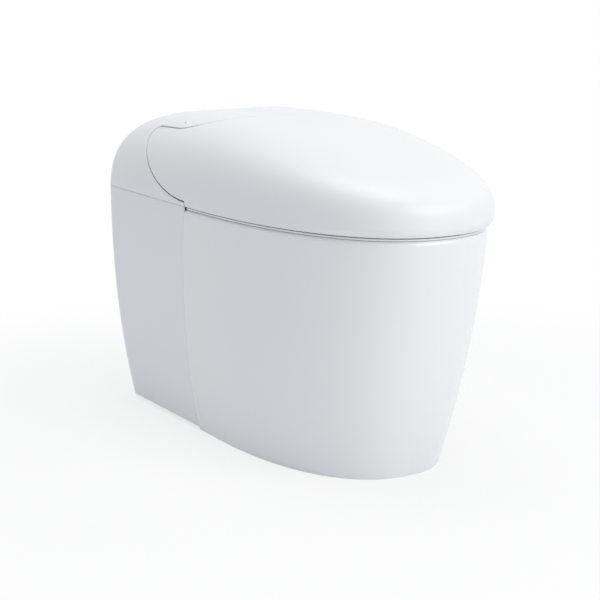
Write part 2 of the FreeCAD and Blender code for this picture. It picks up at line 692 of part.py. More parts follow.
def rounded_path(points, radius):
    """Straight runs in the plane of three or more points, joined by tangent arcs."""
    edges = []
    last = points[0]
    for before, corner, after in zip(points, points[1:], points[2:]):
        back = (before - corner).normalize()
        ahead = (after - corner).normalize()
        half_turn = (math.pi - back.getAngle(ahead)) / 2
        reach = radius * math.tan(half_turn)
        start, end = corner + back * reach, corner + ahead * reach
        inward = (back + ahead).normalize()
        middle = corner + inward * (radius / math.cos(half_turn) - radius)
        edges.append(Part.LineSegment(last, start).toShape())
        edges.append(Part.Arc(start, middle, end).toShape())
        last = end
    edges.append(Part.LineSegment(last, points[-1]).toShape())
    return Part.Wire(edges)


def pipe(name, path, radius):
    """A round solid swept along a path."""
    spine = shaped(name + "_path", path)
    start = path.Edges[0]
    ring_edge = Part.Circle(start.Vertexes[0].Point, start.tangentAt(start.FirstParameter), radius)
    section = shaped(name + "_section", Part.Wire([ring_edge.toShape()]))
    obj = doc.addObject("Part::Sweep", name)
    obj.Sections = [section]
    obj.Spine = (spine, ["Edge%d" % (i + 1) for i in range(len(path.Edges))])
    obj.Solid = True
    obj.Frenet = False
    return obj


# share of the height from sump to rim, then shares of the mouth's width and length, and the centre
BASIN_SHAPE = ((0.0, 0.20, 0.16, 0.47), (0.05, 0.27, 0.20, 0.485), (0.15, 0.35, 0.27, 0.54),
               (0.28, 0.47, 0.42, 0.635), (0.43, 0.67, 0.615, 0.77), (0.62, 0.875, 0.82, 0.905),
               (0.78, 0.985, 0.945, 0.97), (0.89, 1.02, 1.005, 1.0), (0.97, 1.0, 1.0, 1.0))


def basin(name, grow, top):
    """The basin's inside, or with a wall added its outside, up to a level."""
    floor = size("sump_floor") - grow
    rise = size("rim_level") - size("sump_floor")
    sections = []
    for number, (up, wide, long_share, centre) in enumerate(BASIN_SHAPE):
        level = floor if number == 0 else size("sump_floor") + up * rise
        sections.append((level, wide * size("basin_half_width") + grow,
                         long_share * size("basin_half_length") + grow,
                         centre * size("basin_y"), 2 + 0.5 * min(1, up * 1.3)))
    sections = [section for section in sections if section[0] < top - 4]
    last = sections[-1]
    for more in ((top,) if grow else (size("rim_level"), top)):
        lift = 0 if grow else 3
        sections.append((more, size("basin_half_width") + grow + lift,
                         size("basin_half_length") + grow + lift,
                         size("basin_y"), last[4]))
    return shaped(name, form_solid(oval_rows(sections)))


rim_level = size("rim_level")
skirt_outside = shaped("skirt_outside", form_solid(skirt_rows(
    [(level, 0) for level in SKIRT_LEVELS] + [(rim_level - 20, 0), (rim_level - 7, 0.5),
                                               (rim_level - 1.6, 2.6), (rim_level, 6)], 0)))
skirt_inside = shaped("skirt_inside", form_solid(skirt_rows(
    [(-5, 0)] + [(level, 0) for level in SKIRT_LEVELS[1:]] + [(rim_level - size("rim_slab"), 0)],
    size("ceramic_wall"))))
ahead_of_seam = extruded("ahead_of_seam", polyline([
    Vector(0, -450, -10), Vector(0, seam_y(-10), -10), Vector(0, seam_y(420), 420), Vector(0, -450, 420),
    Vector(0, -450, -10)]), "-300", "300")
skirt = cut("skirt", common("skirt_front", skirt_outside, ahead_of_seam), skirt_inside)
INNER_BOX = ("-box_half_width + box_wall", "box_half_width - box_wall")
rear_box = cut("rear_box",
               box("rear_box_block", ("-box_half_width", "box_half_width"),
                   ("well_front + 10", "depth / 2 - 15"), ("0", "deck")),
               box("rear_box_foot_room", INNER_BOX, ("0", "depth / 2"), ("-1", "shelf - 14")),
               box("rear_box_room", INNER_BOX, ("0", "depth / 2"), ("shelf", "deck - deck_slab")))
bulkhead = box("bulkhead", ("-well_half_width", "well_half_width"), ("well_front - 14", "well_front"),
               ("deck - deck_slab", "rim_level - 2"))
OUTLET_Y = size("depth") / 2 - size("rough_in")
crown_y = size("tank_front") - size("trap_bore") - size("trap_wall") - 5
weir = size("weir")
low_run = size("sump_floor") + size("trap_bore") + 1
elbow = size("horn_level") + 12 + 0.62 * size("trap_bend")
rise_start = 20
trap_points = [Vector(0, -78, low_run), Vector(0, rise_start, low_run),
               Vector(0, rise_start + (weir - low_run) * 0.7, weir), Vector(0, crown_y, weir),
               Vector(0, crown_y, elbow + 52), Vector(0, OUTLET_Y, elbow),
               Vector(0, OUTLET_Y, size("horn_level"))]
trap_path = rounded_path(trap_points, size("trap_bend"))
trap_outside = pipe("trap_outside", trap_path, size("trap_bore") + size("trap_wall"))
long_path = rounded_path(trap_points[:-1] + [Vector(0, OUTLET_Y, size("horn_level") - 5)], size("trap_bend"))
trap_inside = pipe("trap_inside", long_path, size("trap_bore"))
SPUD = ("pump_x", "spud_z")
spud = cylinder("spud", "y", "pipe_radius + 4", "14", "64", *SPUD)
spud_bore = cylinder("spud_bore", "y", "pipe_bore", "-5", "65", *SPUD)
bowl_solid = fuse("bowl_solid", skirt, rear_box, bulkhead,
                  basin("basin_outside", size("basin_wall"), rim_level - 10), trap_outside, spud)
well = box("well", ("-well_half_width", "well_half_width"), ("well_front", "depth"),
           ("deck", "rim_level + 20"))
node("bowl", cut("bowl_cut", bowl_solid, basin("basin_inside", 0, rim_level + 6), trap_inside, spud_bore,
                 well))

# ---------------------------------------------------------------- floor socket and seal
OUTLET = ("0", "depth / 2 - rough_in")
BOLT_Y = "depth / 2 - rough_in + bolt_back"
SEAL_OUT = "trap_bore + trap_wall + seal_width"
SHELF = "horn_level + 1 - seat_fit"
node("outlet_seal", ring("outlet_seal_ring", "z", SEAL_OUT, "trap_bore + trap_wall + seat_fit",
                         "horn_level + 1", "horn_level + 11", *OUTLET))
SOCKET_OUT = SEAL_OUT + " + seat_fit + socket_wall"
socket_plate = box("socket_plate_block", ("-box_half_width + box_wall + 2", "box_half_width - box_wall - 2"),
                   ("depth / 2 - rough_in - 40", BOLT_Y + " + 20"), ("0", "socket_plate"))
socket_rim = cylinder("socket_rim", "z", SOCKET_OUT, "0", "horn_level + 11", *OUTLET)
socket_ribs = both_sides("socket_ribs", box("socket_rib", ("40", "bolt_x - 16"),
                                           (BOLT_Y + " - 32", BOLT_Y + " - 26"),
                                           ("socket_plate - 1", "socket_plate + 10")))
socket_cup = cylinder("socket_cup", "z", SEAL_OUT + " + seat_fit", SHELF, "horn_level + 20", *OUTLET)
socket_step = cylinder("socket_step", "z", "drain_radius + 1", "horn_level - 4", "horn_level + 2", *OUTLET)
drain = cylinder("drain", "z", "drain_radius", "-5", "horn_level", *OUTLET)
bolt_holes = both_sides("bolt_holes", cylinder("bolt_hole_tool", "z", "bolt_hole", "-1", "socket_plate + 1",
                                               "bolt_x", BOLT_Y))
socket_solid = fuse("floor_socket_solid", socket_plate, socket_rim, socket_ribs)
node("floor_socket", cut("floor_socket_cut", socket_solid, socket_cup, socket_step, drain, bolt_holes))

# ---------------------------------------------------------------- side panels
panel_low, panel_high = size("panel_lift"), size("seam_level") - 1
panel_outside = shaped("panel_outside", form_solid(skirt_rows(
    [(panel_low, 0)] + [(level, 0) for level in SKIRT_LEVELS[1:]] + [(panel_high, 0)], 0)))
panel_inside = shaped("panel_inside", form_solid(skirt_rows(
    [(0, 0)] + [(level, 0) for level in SKIRT_LEVELS[1:]] + [(panel_high + 5, 0)], size("panel_wall"))))
clip_limit = shaped("clip_limit", form_solid(skirt_rows(
    [(0, 0)] + [(level, 0) for level in SKIRT_LEVELS[1:]] + [(panel_high + 5, 0)],
    size("panel_wall") + size("seat_fit"))))
gap = size("seam_gap")
behind_seam = extruded("behind_seam", polyline([
    Vector(0, seam_y(-10) + gap, -10), Vector(0, 450, -10), Vector(0, 450, 420),
    Vector(0, seam_y(420) + gap, 420), Vector(0, seam_y(-10) + gap, -10)]), "box_half_width + 4", "260")
panel = common("panel", cut("panel_shell", panel_outside, panel_inside), behind_seam)
node("side_panel_right", panel)
node("side_panel_left", mirrored("panel_left", panel))
CLIP_YZ = ((190, 90), (190, 290), (335, 90), (335, 290))
clips = [common("clip_%d" % i, clip_limit,
                cylinder("clip_rod_%d" % i, "x", "7", "box_half_width + seat_fit", "230", str(y), str(z)))
         for i, (y, z) in enumerate(CLIP_YZ)]
node("panel_clips", both_sides("panel_clip_group", group("clips_right", *clips)))

# ---------------------------------------------------------------- chassis, fascia and hinge
TRAY = "deck + seat_fit"
FLOOR = "deck + seat_fit + chassis_wall"
tray = box("tray", ("-chassis_half_width", "chassis_half_width"),
           ("fascia_y + fascia_wall + seat_fit", "depth / 2 - 15"), (TRAY, FLOOR))
rear_wall = box("tray_rear", ("-chassis_half_width", "chassis_half_width"),
                ("depth / 2 - 19", "depth / 2 - 15"), (TRAY, "rim_level + 4"))
inlet_hole = cylinder("inlet_hole", "y", "inlet_radius + 0.6", "depth / 2 - 30", "depth / 2", "inlet_x",
                      "inlet_z")
gland_hole = cylinder("gland_hole", "y", "8.2", "depth / 2 - 30", "depth / 2", "-inlet_x", "inlet_z")
TILT = FreeCAD.Rotation(Vector(1, 0, 0), size("wand_slope"))


def tilted(obj):
    """Tip an object that was built along +Y at the origin, so that it lies behind the wand port."""
    if obj.TypeId in ("Part::Box", "Part::Cylinder"):
        obj = group(obj.Name + "_tipped", obj)
    obj.Placement = FreeCAD.Placement(Vector(), TILT)
    place(obj, "0", "fascia_y", "wand_port_z")
    return obj


GUIDE_LOW = "-wand_radius - 4"
guide_back = 168
fin = cut("guide_fin", box("guide_fin_block", ("-9", "9"), ("75", "200"), ("deck + 1", "deck + 90")),
          tilted(box("guide_fin_limit_block", ("-30", "30"), ("-200", "400"),
                     ("-wand_radius - 4 - seat_fit", "200"))))
node("chassis", cut("chassis_cut", fuse("chassis_solid", tray, rear_wall, fin), inlet_hole, gland_hole))

wand_port = tilted(cylinder("wand_port", "y", "wand_radius + 1", "-30", "30", "0", "0"))
rack_port = tilted(box("rack_port", ("-4", "4"), ("-30", "30"), ("0", "wand_radius + 3.8 + gear_module")))
PORT_X = ("port_x - port_half_width", "port_x + port_half_width")
PORT_Z = ("port_z", "port_z + port_height")
ports = both_sides("ports", box("port", PORT_X, ("fascia_y - 5", "fascia_y + 10"), PORT_Z))
fascia_top = box("fascia_top", ("-chassis_half_width", "chassis_half_width"),
                 ("well_front + seat_fit", "tongue_front + 6"), ("rim_level - 6", "rim_level - 2.5"))
fascia_front = box("fascia_front", ("-fascia_half_width", "fascia_half_width"),
                   ("fascia_y", "fascia_y + fascia_wall"), (TRAY, "rim_level - 4"))
wand_notch = box("wand_notch", ("-22", "22"), ("72", "150"), ("rim_level - 10", "rim_level"))
fascia_open = cut("fascia_open", fuse("fascia_solid", fascia_front, fascia_top), wand_port, rack_port, ports,
                  wand_notch)
BARS = 4
bar_step = 2 * size("port_half_width") / (BARS + 1)
bar_places = [("port_x - port_half_width + %.3f" % (bar_step * (i + 1) - 0.8),
               "port_x - port_half_width + %.3f" % (bar_step * (i + 1) + 0.8)) for i in range(BARS)]
intake_bars = [box("intake_bar_%d" % i, place, ("fascia_y + 0.6", "fascia_y + fascia_wall - 0.8"),
                   ("port_z - 1", "port_z + port_height + 1")) for i, place in enumerate(bar_places)]
node("fascia", fuse("fascia_grilled", fascia_open, *intake_bars))

upright = box("upright", ("frame_x", "frame_x + frame_wall"), ("hinge_y - 24", "hinge_y + 24"),
              (FLOOR, "hinge_z + 16"))
foot = box("upright_foot", ("frame_x - 20", "frame_x + 1"), ("hinge_y - 24", "hinge_y + 24"),
           (FLOOR, FLOOR + " + 5"))
bush_hole = cylinder("bush_hole", "x", "shaft + 3.5 + running", "frame_x - 5", "frame_x + 20", *PIVOT)
upright_solid = fuse("upright_solid", upright, foot)
node("hinge_frame", both_sides("hinge_frame_pair", cut("hinge_frame_side", upright_solid, bush_hole)))
node("hinge_bushes", both_sides("bush_pair", ring("bush", "x", "shaft + 3.5", "shaft + running",
                                                  "frame_x", "frame_x + frame_wall + 1.5", *PIVOT)))


def drive(name):
    """A geared motor whose end rests against the hinge upright, with a socket for its spindle."""
    gearbox = cylinder(name + "_gearbox", "x", "drive_radius", "frame_x - 34", "frame_x - seat_fit", *PIVOT)
    motor = cylinder(name + "_motor", "x", "drive_radius - 4", "frame_x - drive_length", "frame_x - 30",
                     *PIVOT)
    socket = cylinder(name + "_socket", "x", "shaft + running", "frame_x - 20", "frame_x + 5", *PIVOT)
    return cut(name + "_cut", fuse(name + "_solid", gearbox, motor), socket)


node("seat_drive", drive("seat_motor"))
node("lid_drive", mirrored("lid_drive_side", drive("lid_motor")))

# ---------------------------------------------------------------- cleaning wand
PITCH = math.pi * size("gear_module")
PITCH_LINE = size("wand_radius") + 3
PINION_Y = 104
TEETH = int(size("gear_teeth"))
PITCH_RADIUS = size("gear_module") * TEETH / 2
PINION_Z = PITCH_LINE + PITCH_RADIUS
BACKLASH = 0.12
PRESSURE = math.radians(20)


def rack_outline():
    """Side view of the rack: a bar whose upper edge has straight-flanked teeth."""
    first = math.ceil((98 - PINION_Y) / PITCH - 0.5)
    last = math.floor((size("wand_length") - 3 - PINION_Y) / PITCH - 0.5)
    tip, root = 0.8 * size("gear_module"), 1.1 * size("gear_module")
    half = PITCH / 4 - BACKLASH / 2
    points = [Vector(0, PINION_Y + (first + 0.5) * PITCH - PITCH / 2, PITCH_LINE - root)]
    for number in range(first, last + 1):
        middle = PINION_Y + (number + 0.5) * PITCH
        for side in (-1, 1):
            low = Vector(0, middle + side * (half + root * math.tan(PRESSURE)), PITCH_LINE - root)
            high = Vector(0, middle + side * (half - tip * math.tan(PRESSURE)), PITCH_LINE + tip)
            points += [low, high] if side < 0 else [high, low]
    points.append(Vector(0, PINION_Y + (last + 1) * PITCH, PITCH_LINE - root))
    bottom = size("wand_radius") - 2
    points += [Vector(0, points[-1].y, bottom), Vector(0, points[0].y, bottom), points[0]]
    return polyline(points)


def pinion_outline():
    """Points round the pinion: involute flanks on radial roots, one tooth pointing down."""
    base = PITCH_RADIUS * math.cos(PRESSURE)
    tip = PITCH_RADIUS + 0.85 * size("gear_module")
    root = PITCH_RADIUS - 1.15 * size("gear_module")

    def roll(radius):
        slope = math.acos(min(1.0, base / radius))
        return math.tan(slope) - slope

    half_pitch = math.pi / (2 * TEETH) - BACKLASH / (2 * PITCH_RADIUS)
    radii = [base, (2 * base + tip) / 3, (base + 2 * tip) / 3, tip]
    flank = [(root, half_pitch + roll(PITCH_RADIUS) - 0.02)]
    flank += [(radius, half_pitch + roll(PITCH_RADIUS) - roll(radius)) for radius in radii]
    points = []
    for tooth in range(TEETH):
        centre = -math.pi / 2 + 2 * math.pi * tooth / TEETH
        for radius, turn in flank:
            points.append((radius, centre - turn))
        for radius, turn in reversed(flank):
            points.append((radius, centre + turn))
    spots = [Vector(0, PINION_Y + r * math.cos(a), PINION_Z + r * math.sin(a)) for r, a in points]
    return polyline(spots + [spots[0]])


tube = cylinder("wand_tube_rod", "y", "wand_radius", "wand_tip", "wand_length", "0", "0")
node("wand_tube", tilted(fuse("wand_tube_solid", tube, extruded("rack", rack_outline(), "-3", "3"))))
tip_rod = cylinder("tip_rod", "y", "wand_radius", "0", "wand_tip", "0", "0")
doc.recompute()
tip_round = doc.addObject("Part::Fillet", "tip_round")
tip_round.Base = tip_rod
front_edge = [i + 1 for i, edge in enumerate(tip_rod.Shape.Edges)
              if abs(edge.CenterOfMass.y) < 0.01 and edge.BoundBox.YLength < 0.01]
tip_round.Edges = [(number, 5, 5) for number in front_edge]
jets = [cylinder("jet_%d" % i, "z", "1.3", "2", "20", "0", str(7 + 6 * i)) for i in range(2)]
node("nozzle_tip", tilted(cut("nozzle_tip_cut", tip_round, *jets)))
guide = cut("guide_cut",
            box("guide_block", ("-14", "14"), ("9", str(guide_back)), (GUIDE_LOW, "wand_radius - 1.3")),
            cylinder("guide_bore", "y", "wand_radius + seat_fit", "0", "300", "0", "0"),
            box("guide_slot", ("-4", "4"), ("0", "300"), ("0", "30")))
node("wand_guide", tilted(guide))
pinion_wheel = extruded("pinion_wheel", pinion_outline(), "-3", "3")
PINION_AT = (str(PINION_Y), str(PINION_Z))
pinion_shaft = cylinder("pinion_shaft", "x", "2", "-5", "18", *PINION_AT)
node("wand_pinion", tilted(fuse("wand_pinion_solid", pinion_wheel, pinion_shaft)))
motor_can = cylinder("wand_motor_can", "x", "11", "8", "40", *PINION_AT)
node("wand_motor", tilted(cut("wand_motor_cut", motor_can, cylinder(
    "wand_motor_socket", "x", "2 + running", "0", "19", *PINION_AT))))

# ---------------------------------------------------------------- air: dryer and deodorizer


def fan_wheel(name, radius, low, high, x, y, shaft_radius, shaft_top):
    """A hub with straight blades round it and a shaft upward."""
    hub = cylinder(name + "_hub", "z", "%s * 0.35" % radius, low, high, x, y)
    shaft = cylinder(name + "_shaft", "z", shaft_radius, low, shaft_top, x, y)
    floor = cylinder(name + "_disc", "z", radius, low, "%s + 1.5" % low, x, y)
    blades = []
    count = int(size("fan_blades"))
    for number in range(count):
        blade = doc.addObject("Part::Box", "%s_blade_%d" % (name, number))
        bind(blade, "Length", "%s * 0.7" % radius)
        blade.Width = 1.6
        bind(blade, "Height", "(%s) - (%s)" % (high, low))
        turn = 360.0 * number / count
        blade.Placement = FreeCAD.Placement(Vector(), FreeCAD.Rotation(Vector(0, 0, 1), turn))
        place(blade, "%s + %s * 0.29 * cos(%s deg)" % (x, radius, turn),
              "%s + %s * 0.29 * sin(%s deg)" % (y, radius, turn), low)
        blades.append(blade)
    return fuse(name, hub, shaft, floor, *blades)


def round_housing(name, radius, height, x, y, shaft_hole):
    """A flat round housing on the tray, with a hole for the shaft in its top."""
    body = cylinder(name + "_body", "z", radius, FLOOR, "%s + %s" % (FLOOR, height), x, y)
    room = cylinder(name + "_room", "z", "%s - 2.5" % radius, FLOOR + " + 2.5",
                    "%s + %s - 2.5" % (FLOOR, height), x, y)
    hole = cylinder(name + "_hole", "z", shaft_hole, FLOOR + " + 5", "%s + %s + 1" % (FLOOR, height), x, y)
    return body, room, hole


def duct(name, x_low, x_high, back):
    """A rectangular duct from a port in the fascia to the housing behind it."""
    low, high = "port_z - 2", "port_z + port_height + 2"
    front = "fascia_y + fascia_wall + seat_fit"
    outside = box(name + "_outside", (x_low + " - 2", x_high + " + 2"), (front, back), (low, high))
    inside = box(name + "_inside", (x_low, x_high), (front + " - 1", back + " + 6"),
                 ("port_z", "port_z + port_height"))
    return outside, inside


body, room, hole = round_housing("blower", "blower_radius", "blower_height", "-blower_x", "blower_y", "2.6")
pipe_out, pipe_in = duct("dryer_duct", "-port_x - port_half_width", "-port_x + port_half_width",
                         "blower_y - 20")
node("dryer_housing", cut("dryer_housing_cut", fuse("dryer_housing_solid", body, pipe_out), room, pipe_in,
                          hole))
node("dryer_fan", fan_wheel("dryer_fan_wheel", "(blower_radius - 6)", FLOOR + " + 6",
                            FLOOR + " + blower_height - 6", "-blower_x", "blower_y", "2.2",
                            FLOOR + " + blower_height + 12"))
dryer_motor = cylinder("dryer_motor_can", "z", "14", FLOOR + " + blower_height + seat_fit",
                       FLOOR + " + blower_height + 20", "-blower_x", "blower_y")
node("dryer_motor", cut("dryer_motor_cut", dryer_motor, cylinder(
    "dryer_motor_socket", "z", "2.2 + running", FLOOR, FLOOR + " + blower_height + 13", "-blower_x",
    "blower_y")))
HEATER_X = [-8 + 4 * i for i in range(5)]
heater_bars = [box("heater_bar_%d" % i, ("-port_x + %d" % x, "-port_x + %d + 1" % x),
                   ("fascia_y + 20", "fascia_y + 50"),
                   ("port_z + seat_fit", "port_z + port_height - seat_fit"))
               for i, x in enumerate(HEATER_X)]
heater_tie = box("heater_tie", ("-port_x - 10", "-port_x + 11"), ("fascia_y + 33", "fascia_y + 35"),
                 ("port_z + seat_fit", "port_z + 6"))
node("dryer_heater", fuse("dryer_heater_solid", heater_tie, *heater_bars))
FLAP_X = ("-port_x - port_half_width + 0.5", "-port_x + port_half_width - 0.5")
flap_plate = box("flap_plate", FLAP_X, ("fascia_y + 0.4", "fascia_y + 2.4"),
                 ("port_z + 0.5", "port_z + port_height - 1.5"))
flap_pin = cylinder("flap_pin", "x", "1", *FLAP_X, "fascia_y + 1.4", "port_z + port_height - 1.5")
node("dryer_flap", fuse("dryer_flap_solid", flap_plate, flap_pin))

body, room, hole = round_housing("filter", "filter_radius", "filter_height", "blower_x - 4", "blower_y",
                                 "2.6")
pipe_out, pipe_in = duct("intake_duct", "port_x - port_half_width", "port_x + port_half_width",
                         "blower_y - 16")
node("deodorizer_housing", cut("deodorizer_housing_cut", fuse("deodorizer_solid", body, pipe_out), room,
                               pipe_in, hole))
node("deodorizer_fan", fan_wheel("deodorizer_fan_wheel", "(filter_radius - 6)", FLOOR + " + 5",
                                 FLOOR + " + filter_height - 5", "blower_x - 4", "blower_y", "2.2",
                                 FLOOR + " + filter_height + 10"))
filter_motor = cylinder("filter_motor_can", "z", "11", FLOOR + " + filter_height + seat_fit",
                        FLOOR + " + filter_height + 16", "blower_x - 4", "blower_y")
node("deodorizer_motor", cut("deodorizer_motor_cut", filter_motor, cylinder(
    "filter_motor_socket", "z", "2.2 + running", FLOOR, FLOOR + " + filter_height + 11", "blower_x - 4",
    "blower_y")))
node("deodorizer_cartridge", box("cartridge", ("port_x - port_half_width + seat_fit",
                                               "port_x + port_half_width - seat_fit"),
                                 ("fascia_y + 14", "fascia_y + 44"),
                                 ("port_z + seat_fit", "port_z + port_height - seat_fit")))

# ---------------------------------------------------------------- water and electrics
heater_case = box("heater_case", ("30", "112"), ("260", "320"), (FLOOR, "deck + 96"))
heater_stubs = [cylinder("heater_stub_%d" % i, "z", "5", "deck + 90", "deck + 108", str(x), "290")
                for i, x in enumerate((50, 92))]
node("water_heater", fuse("water_heater_solid", heater_case, *heater_stubs))
case_out = box("case_out", ("-126", "-30"), ("258", "300"), (FLOOR, "deck + 92"))
case_in = box("case_in", ("-123", "-33"), ("261", "297"), (FLOOR + " + 3", "deck + 89"))
node("control_box", cut("control_box_cut", case_out, case_in))
node("control_board", box("board", ("-122.7", "-33.3"), ("276", "277.6"), (FLOOR + " + 3.3", "deck + 88")))
valve_block = box("valve_block", ("inlet_x - 26", "inlet_x + 26"), ("318", "354"), (FLOOR, "deck + 52"))
valve_stub = cylinder("valve_stub", "y", "inlet_radius - 1", "350", "depth / 2 - 10", "inlet_x", "inlet_z")
union = cylinder("union", "y", "inlet_radius", "depth / 2 - 14.5", "depth / 2 - 4", "inlet_x", "inlet_z")
valve_bore = cylinder("valve_bore", "y", "inlet_radius - 3.5", "330", "depth / 2", "inlet_x", "inlet_z")
solenoid = cylinder("solenoid", "z", "12", "deck + 50", "deck + 82", "inlet_x + 10", "336")
plug_bore = cylinder("plug_bore", "x", "5 + running", "inlet_x - 30", "inlet_x - 12", "336", "inlet_z")
valve_solid = fuse("supply_valve_solid", valve_block, valve_stub, union, solenoid)
node("supply_valve", cut("supply_valve_cut", valve_solid, valve_bore, plug_bore))
plug_stem = cylinder("plug_stem", "x", "5", "inlet_x - 33", "inlet_x - 12.3", "336", "inlet_z")
plug_head = cylinder("plug_head", "x", "10", "inlet_x - 34", "inlet_x - 26.3", "336", "inlet_z")
plug_bar = box("plug_bar", ("inlet_x - 42", "inlet_x - 33"), ("334", "338"), ("inlet_z - 9", "inlet_z + 9"))
node("filter_plug", fuse("filter_plug_solid", plug_stem, plug_head, plug_bar))
gland_tube = cylinder("gland_tube", "y", "8", "depth / 2 - 26", "depth / 2 - 4", "-inlet_x", "inlet_z")
gland_nut = doc.addObject("Part::Prism", "gland_nut")
gland_nut.Polygon = 6
gland_nut.Circumradius = 12
gland_nut.Height = 6
gland_nut.Placement = FreeCAD.Placement(Vector(), TURN["y"])
place(gland_nut, "-inlet_x", "depth / 2 - 14.7", "inlet_z")
gland_bore = cylinder("gland_bore", "y", "4", "depth / 2 - 30", "depth / 2", "-inlet_x", "inlet_z")
node("power_gland", cut("power_gland_cut", fuse("power_gland_solid", gland_tube, gland_nut), gland_bore))
node("indicator_lens", common("indicator_lens_cut", outer_form, cylinder(
    "indicator_rod", "z", "lens_radius", "seam_level + 118", "seam_level + 200", "lens_x", "lens_y")))

# ---------------------------------------------------------------- flush: tank, valve, pump
TANK_LOW = "shelf + seat_fit"
TANK_X = ("-tank_half_width", "tank_half_width")
TANK_IN = ("-tank_half_width + tank_wall", "tank_half_width - tank_wall")
tank_block = box("tank_block", TANK_X, ("tank_front", "tank_back"), (TANK_LOW, "tank_top"))
tank_room = box("tank_room", TANK_IN, ("tank_front + tank_wall", "tank_back - tank_wall"),
                (TANK_LOW + " + tank_wall", "tank_top + 10"))
PUMP_Z = "shelf + seat_fit + pump_height / 2"
tank_stub = cylinder("tank_stub", "y", "10", "pump_y + pump_radius + seat_fit", "tank_front + 1", "pump_x",
                     PUMP_Z)
tank_stub_bore = cylinder("tank_stub_bore", "y", "7", "pump_y", "tank_front + 10", "pump_x", PUMP_Z)
node("tank", cut("tank_cut", fuse("tank_solid", tank_block, tank_stub), tank_room, tank_stub_bore))
lid_plate = box("tank_lid_plate", TANK_X, ("tank_front", "tank_back"),
                ("tank_top + seat_fit", "tank_top + 4"))
lid_rib = box("tank_lid_rib", ("-tank_half_width + tank_wall + 0.5", "tank_half_width - tank_wall - 0.5"),
              ("tank_front + tank_wall + 0.5", "tank_back - tank_wall - 0.5"),
              ("tank_top - 4", "tank_top + 1"))
node("tank_lid", fuse("tank_lid_solid", lid_plate, lid_rib))
VALVE_FOOT = TANK_LOW + " + tank_wall + seat_fit"
column = cylinder("valve_column", "z", "valve_radius", VALVE_FOOT, "tank_top - 12", "valve_x", "valve_y")
collar = cylinder("valve_collar", "z", "valve_radius + 8", VALVE_FOOT, "shelf + 75", "valve_x", "valve_y")
head = cylinder("valve_head", "z", "valve_radius + 7", "tank_top - 34", "tank_top - 4.3", "valve_x",
                "valve_y")
node("fill_valve", fuse("fill_valve_solid", column, collar, head))
node("float", ring("float_ring", "z", "float_radius", "valve_radius + seat_fit", "shelf + 75 + seat_fit",
                   "shelf + 107", "valve_x", "valve_y"))
pump_body = cylinder("pump_body", "z", "pump_radius", TANK_LOW, "shelf + seat_fit + pump_height", "pump_x",
                     "pump_y")
pump_room = cylinder("pump_room", "z", "pump_radius - 4", "shelf + 4", "shelf + pump_height - 4", "pump_x",
                     "pump_y")
pump_out = cylinder("pump_out", "y", "pipe_radius", "pump_y - pump_radius - 5", "pump_y - pump_radius + 10",
                    "pump_x", PUMP_Z)
pump_way = cylinder("pump_way", "y", "7", "pump_y - pump_radius - 10", "pump_y + pump_radius + 10", "pump_x",
                    PUMP_Z)
pump_hole = cylinder("pump_hole", "z", "3.1", "shelf + 20", "shelf + pump_height + 10", "pump_x", "pump_y")
node("flush_pump_housing", cut("flush_pump_cut", fuse("flush_pump_solid", pump_body, pump_out), pump_room,
                               pump_way, pump_hole))
node("flush_pump_impeller", fan_wheel("impeller", "(pump_radius - 8)", "shelf + 7", "shelf + pump_height - 8",
                                      "pump_x", "pump_y", "2.6", "shelf + pump_height + 16"))
pump_can = cylinder("pump_can", "z", "22", "shelf + pump_height + 2 * seat_fit", "shelf + pump_height + 56",
                    "pump_x", "pump_y")
node("flush_pump_motor", cut("flush_pump_motor_cut", pump_can, cylinder(
    "pump_can_socket", "z", "2.6 + running", "shelf", "shelf + pump_height + 17", "pump_x", "pump_y")))
pump_z = size("shelf") + size("seat_fit") + size("pump_height") / 2
jet_x = size("pump_x")
jet_end = size("pump_y") - size("pump_radius") - 5 - size("seat_fit")
jet_rise = jet_end - 30
jet_path = rounded_path([Vector(jet_x, jet_end, pump_z), Vector(jet_x, jet_rise, pump_z),
                          Vector(jet_x, jet_rise, size("spud_z")), Vector(jet_x, 64.3, size("spud_z"))], 26)
node("jet_pipe", cut("jet_pipe_cut", pipe("jet_pipe_outside", jet_path, size("pipe_radius")),
                     pipe("jet_pipe_inside", jet_path, size("pipe_bore"))))

# ---------------------------------------------------------------- checks and export


def faults():
    bad = []
    for obj in doc.Objects:
        if "Invalid" in obj.State or "Error" in obj.State:
            bad.append("%s is %s" % (obj.Label, obj.State))
    for name, obj in NODES.items():
        if obj.Shape.isNull() or not obj.Shape.isValid() or not obj.Shape.Solids:
            bad.append("%s has no valid solid" % name)
    return bad


doc.recompute()
problems = faults()
if problems:
    raise SystemExit("\n".join(problems))
os.makedirs("parts", exist_ok=True)
for name, obj in NODES.items():
    obj.Shape.exportStep("parts/%s.step" % name)
    print("%-24s %2d solids %10.1f cm3" % (name, len(obj.Shape.Solids), obj.Shape.Volume / 1000))
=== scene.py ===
"""Smart toilet with a heated seat, in a plain studio. Metres, +Z up, wall at +Y, nose to -Y."""
import json
import math

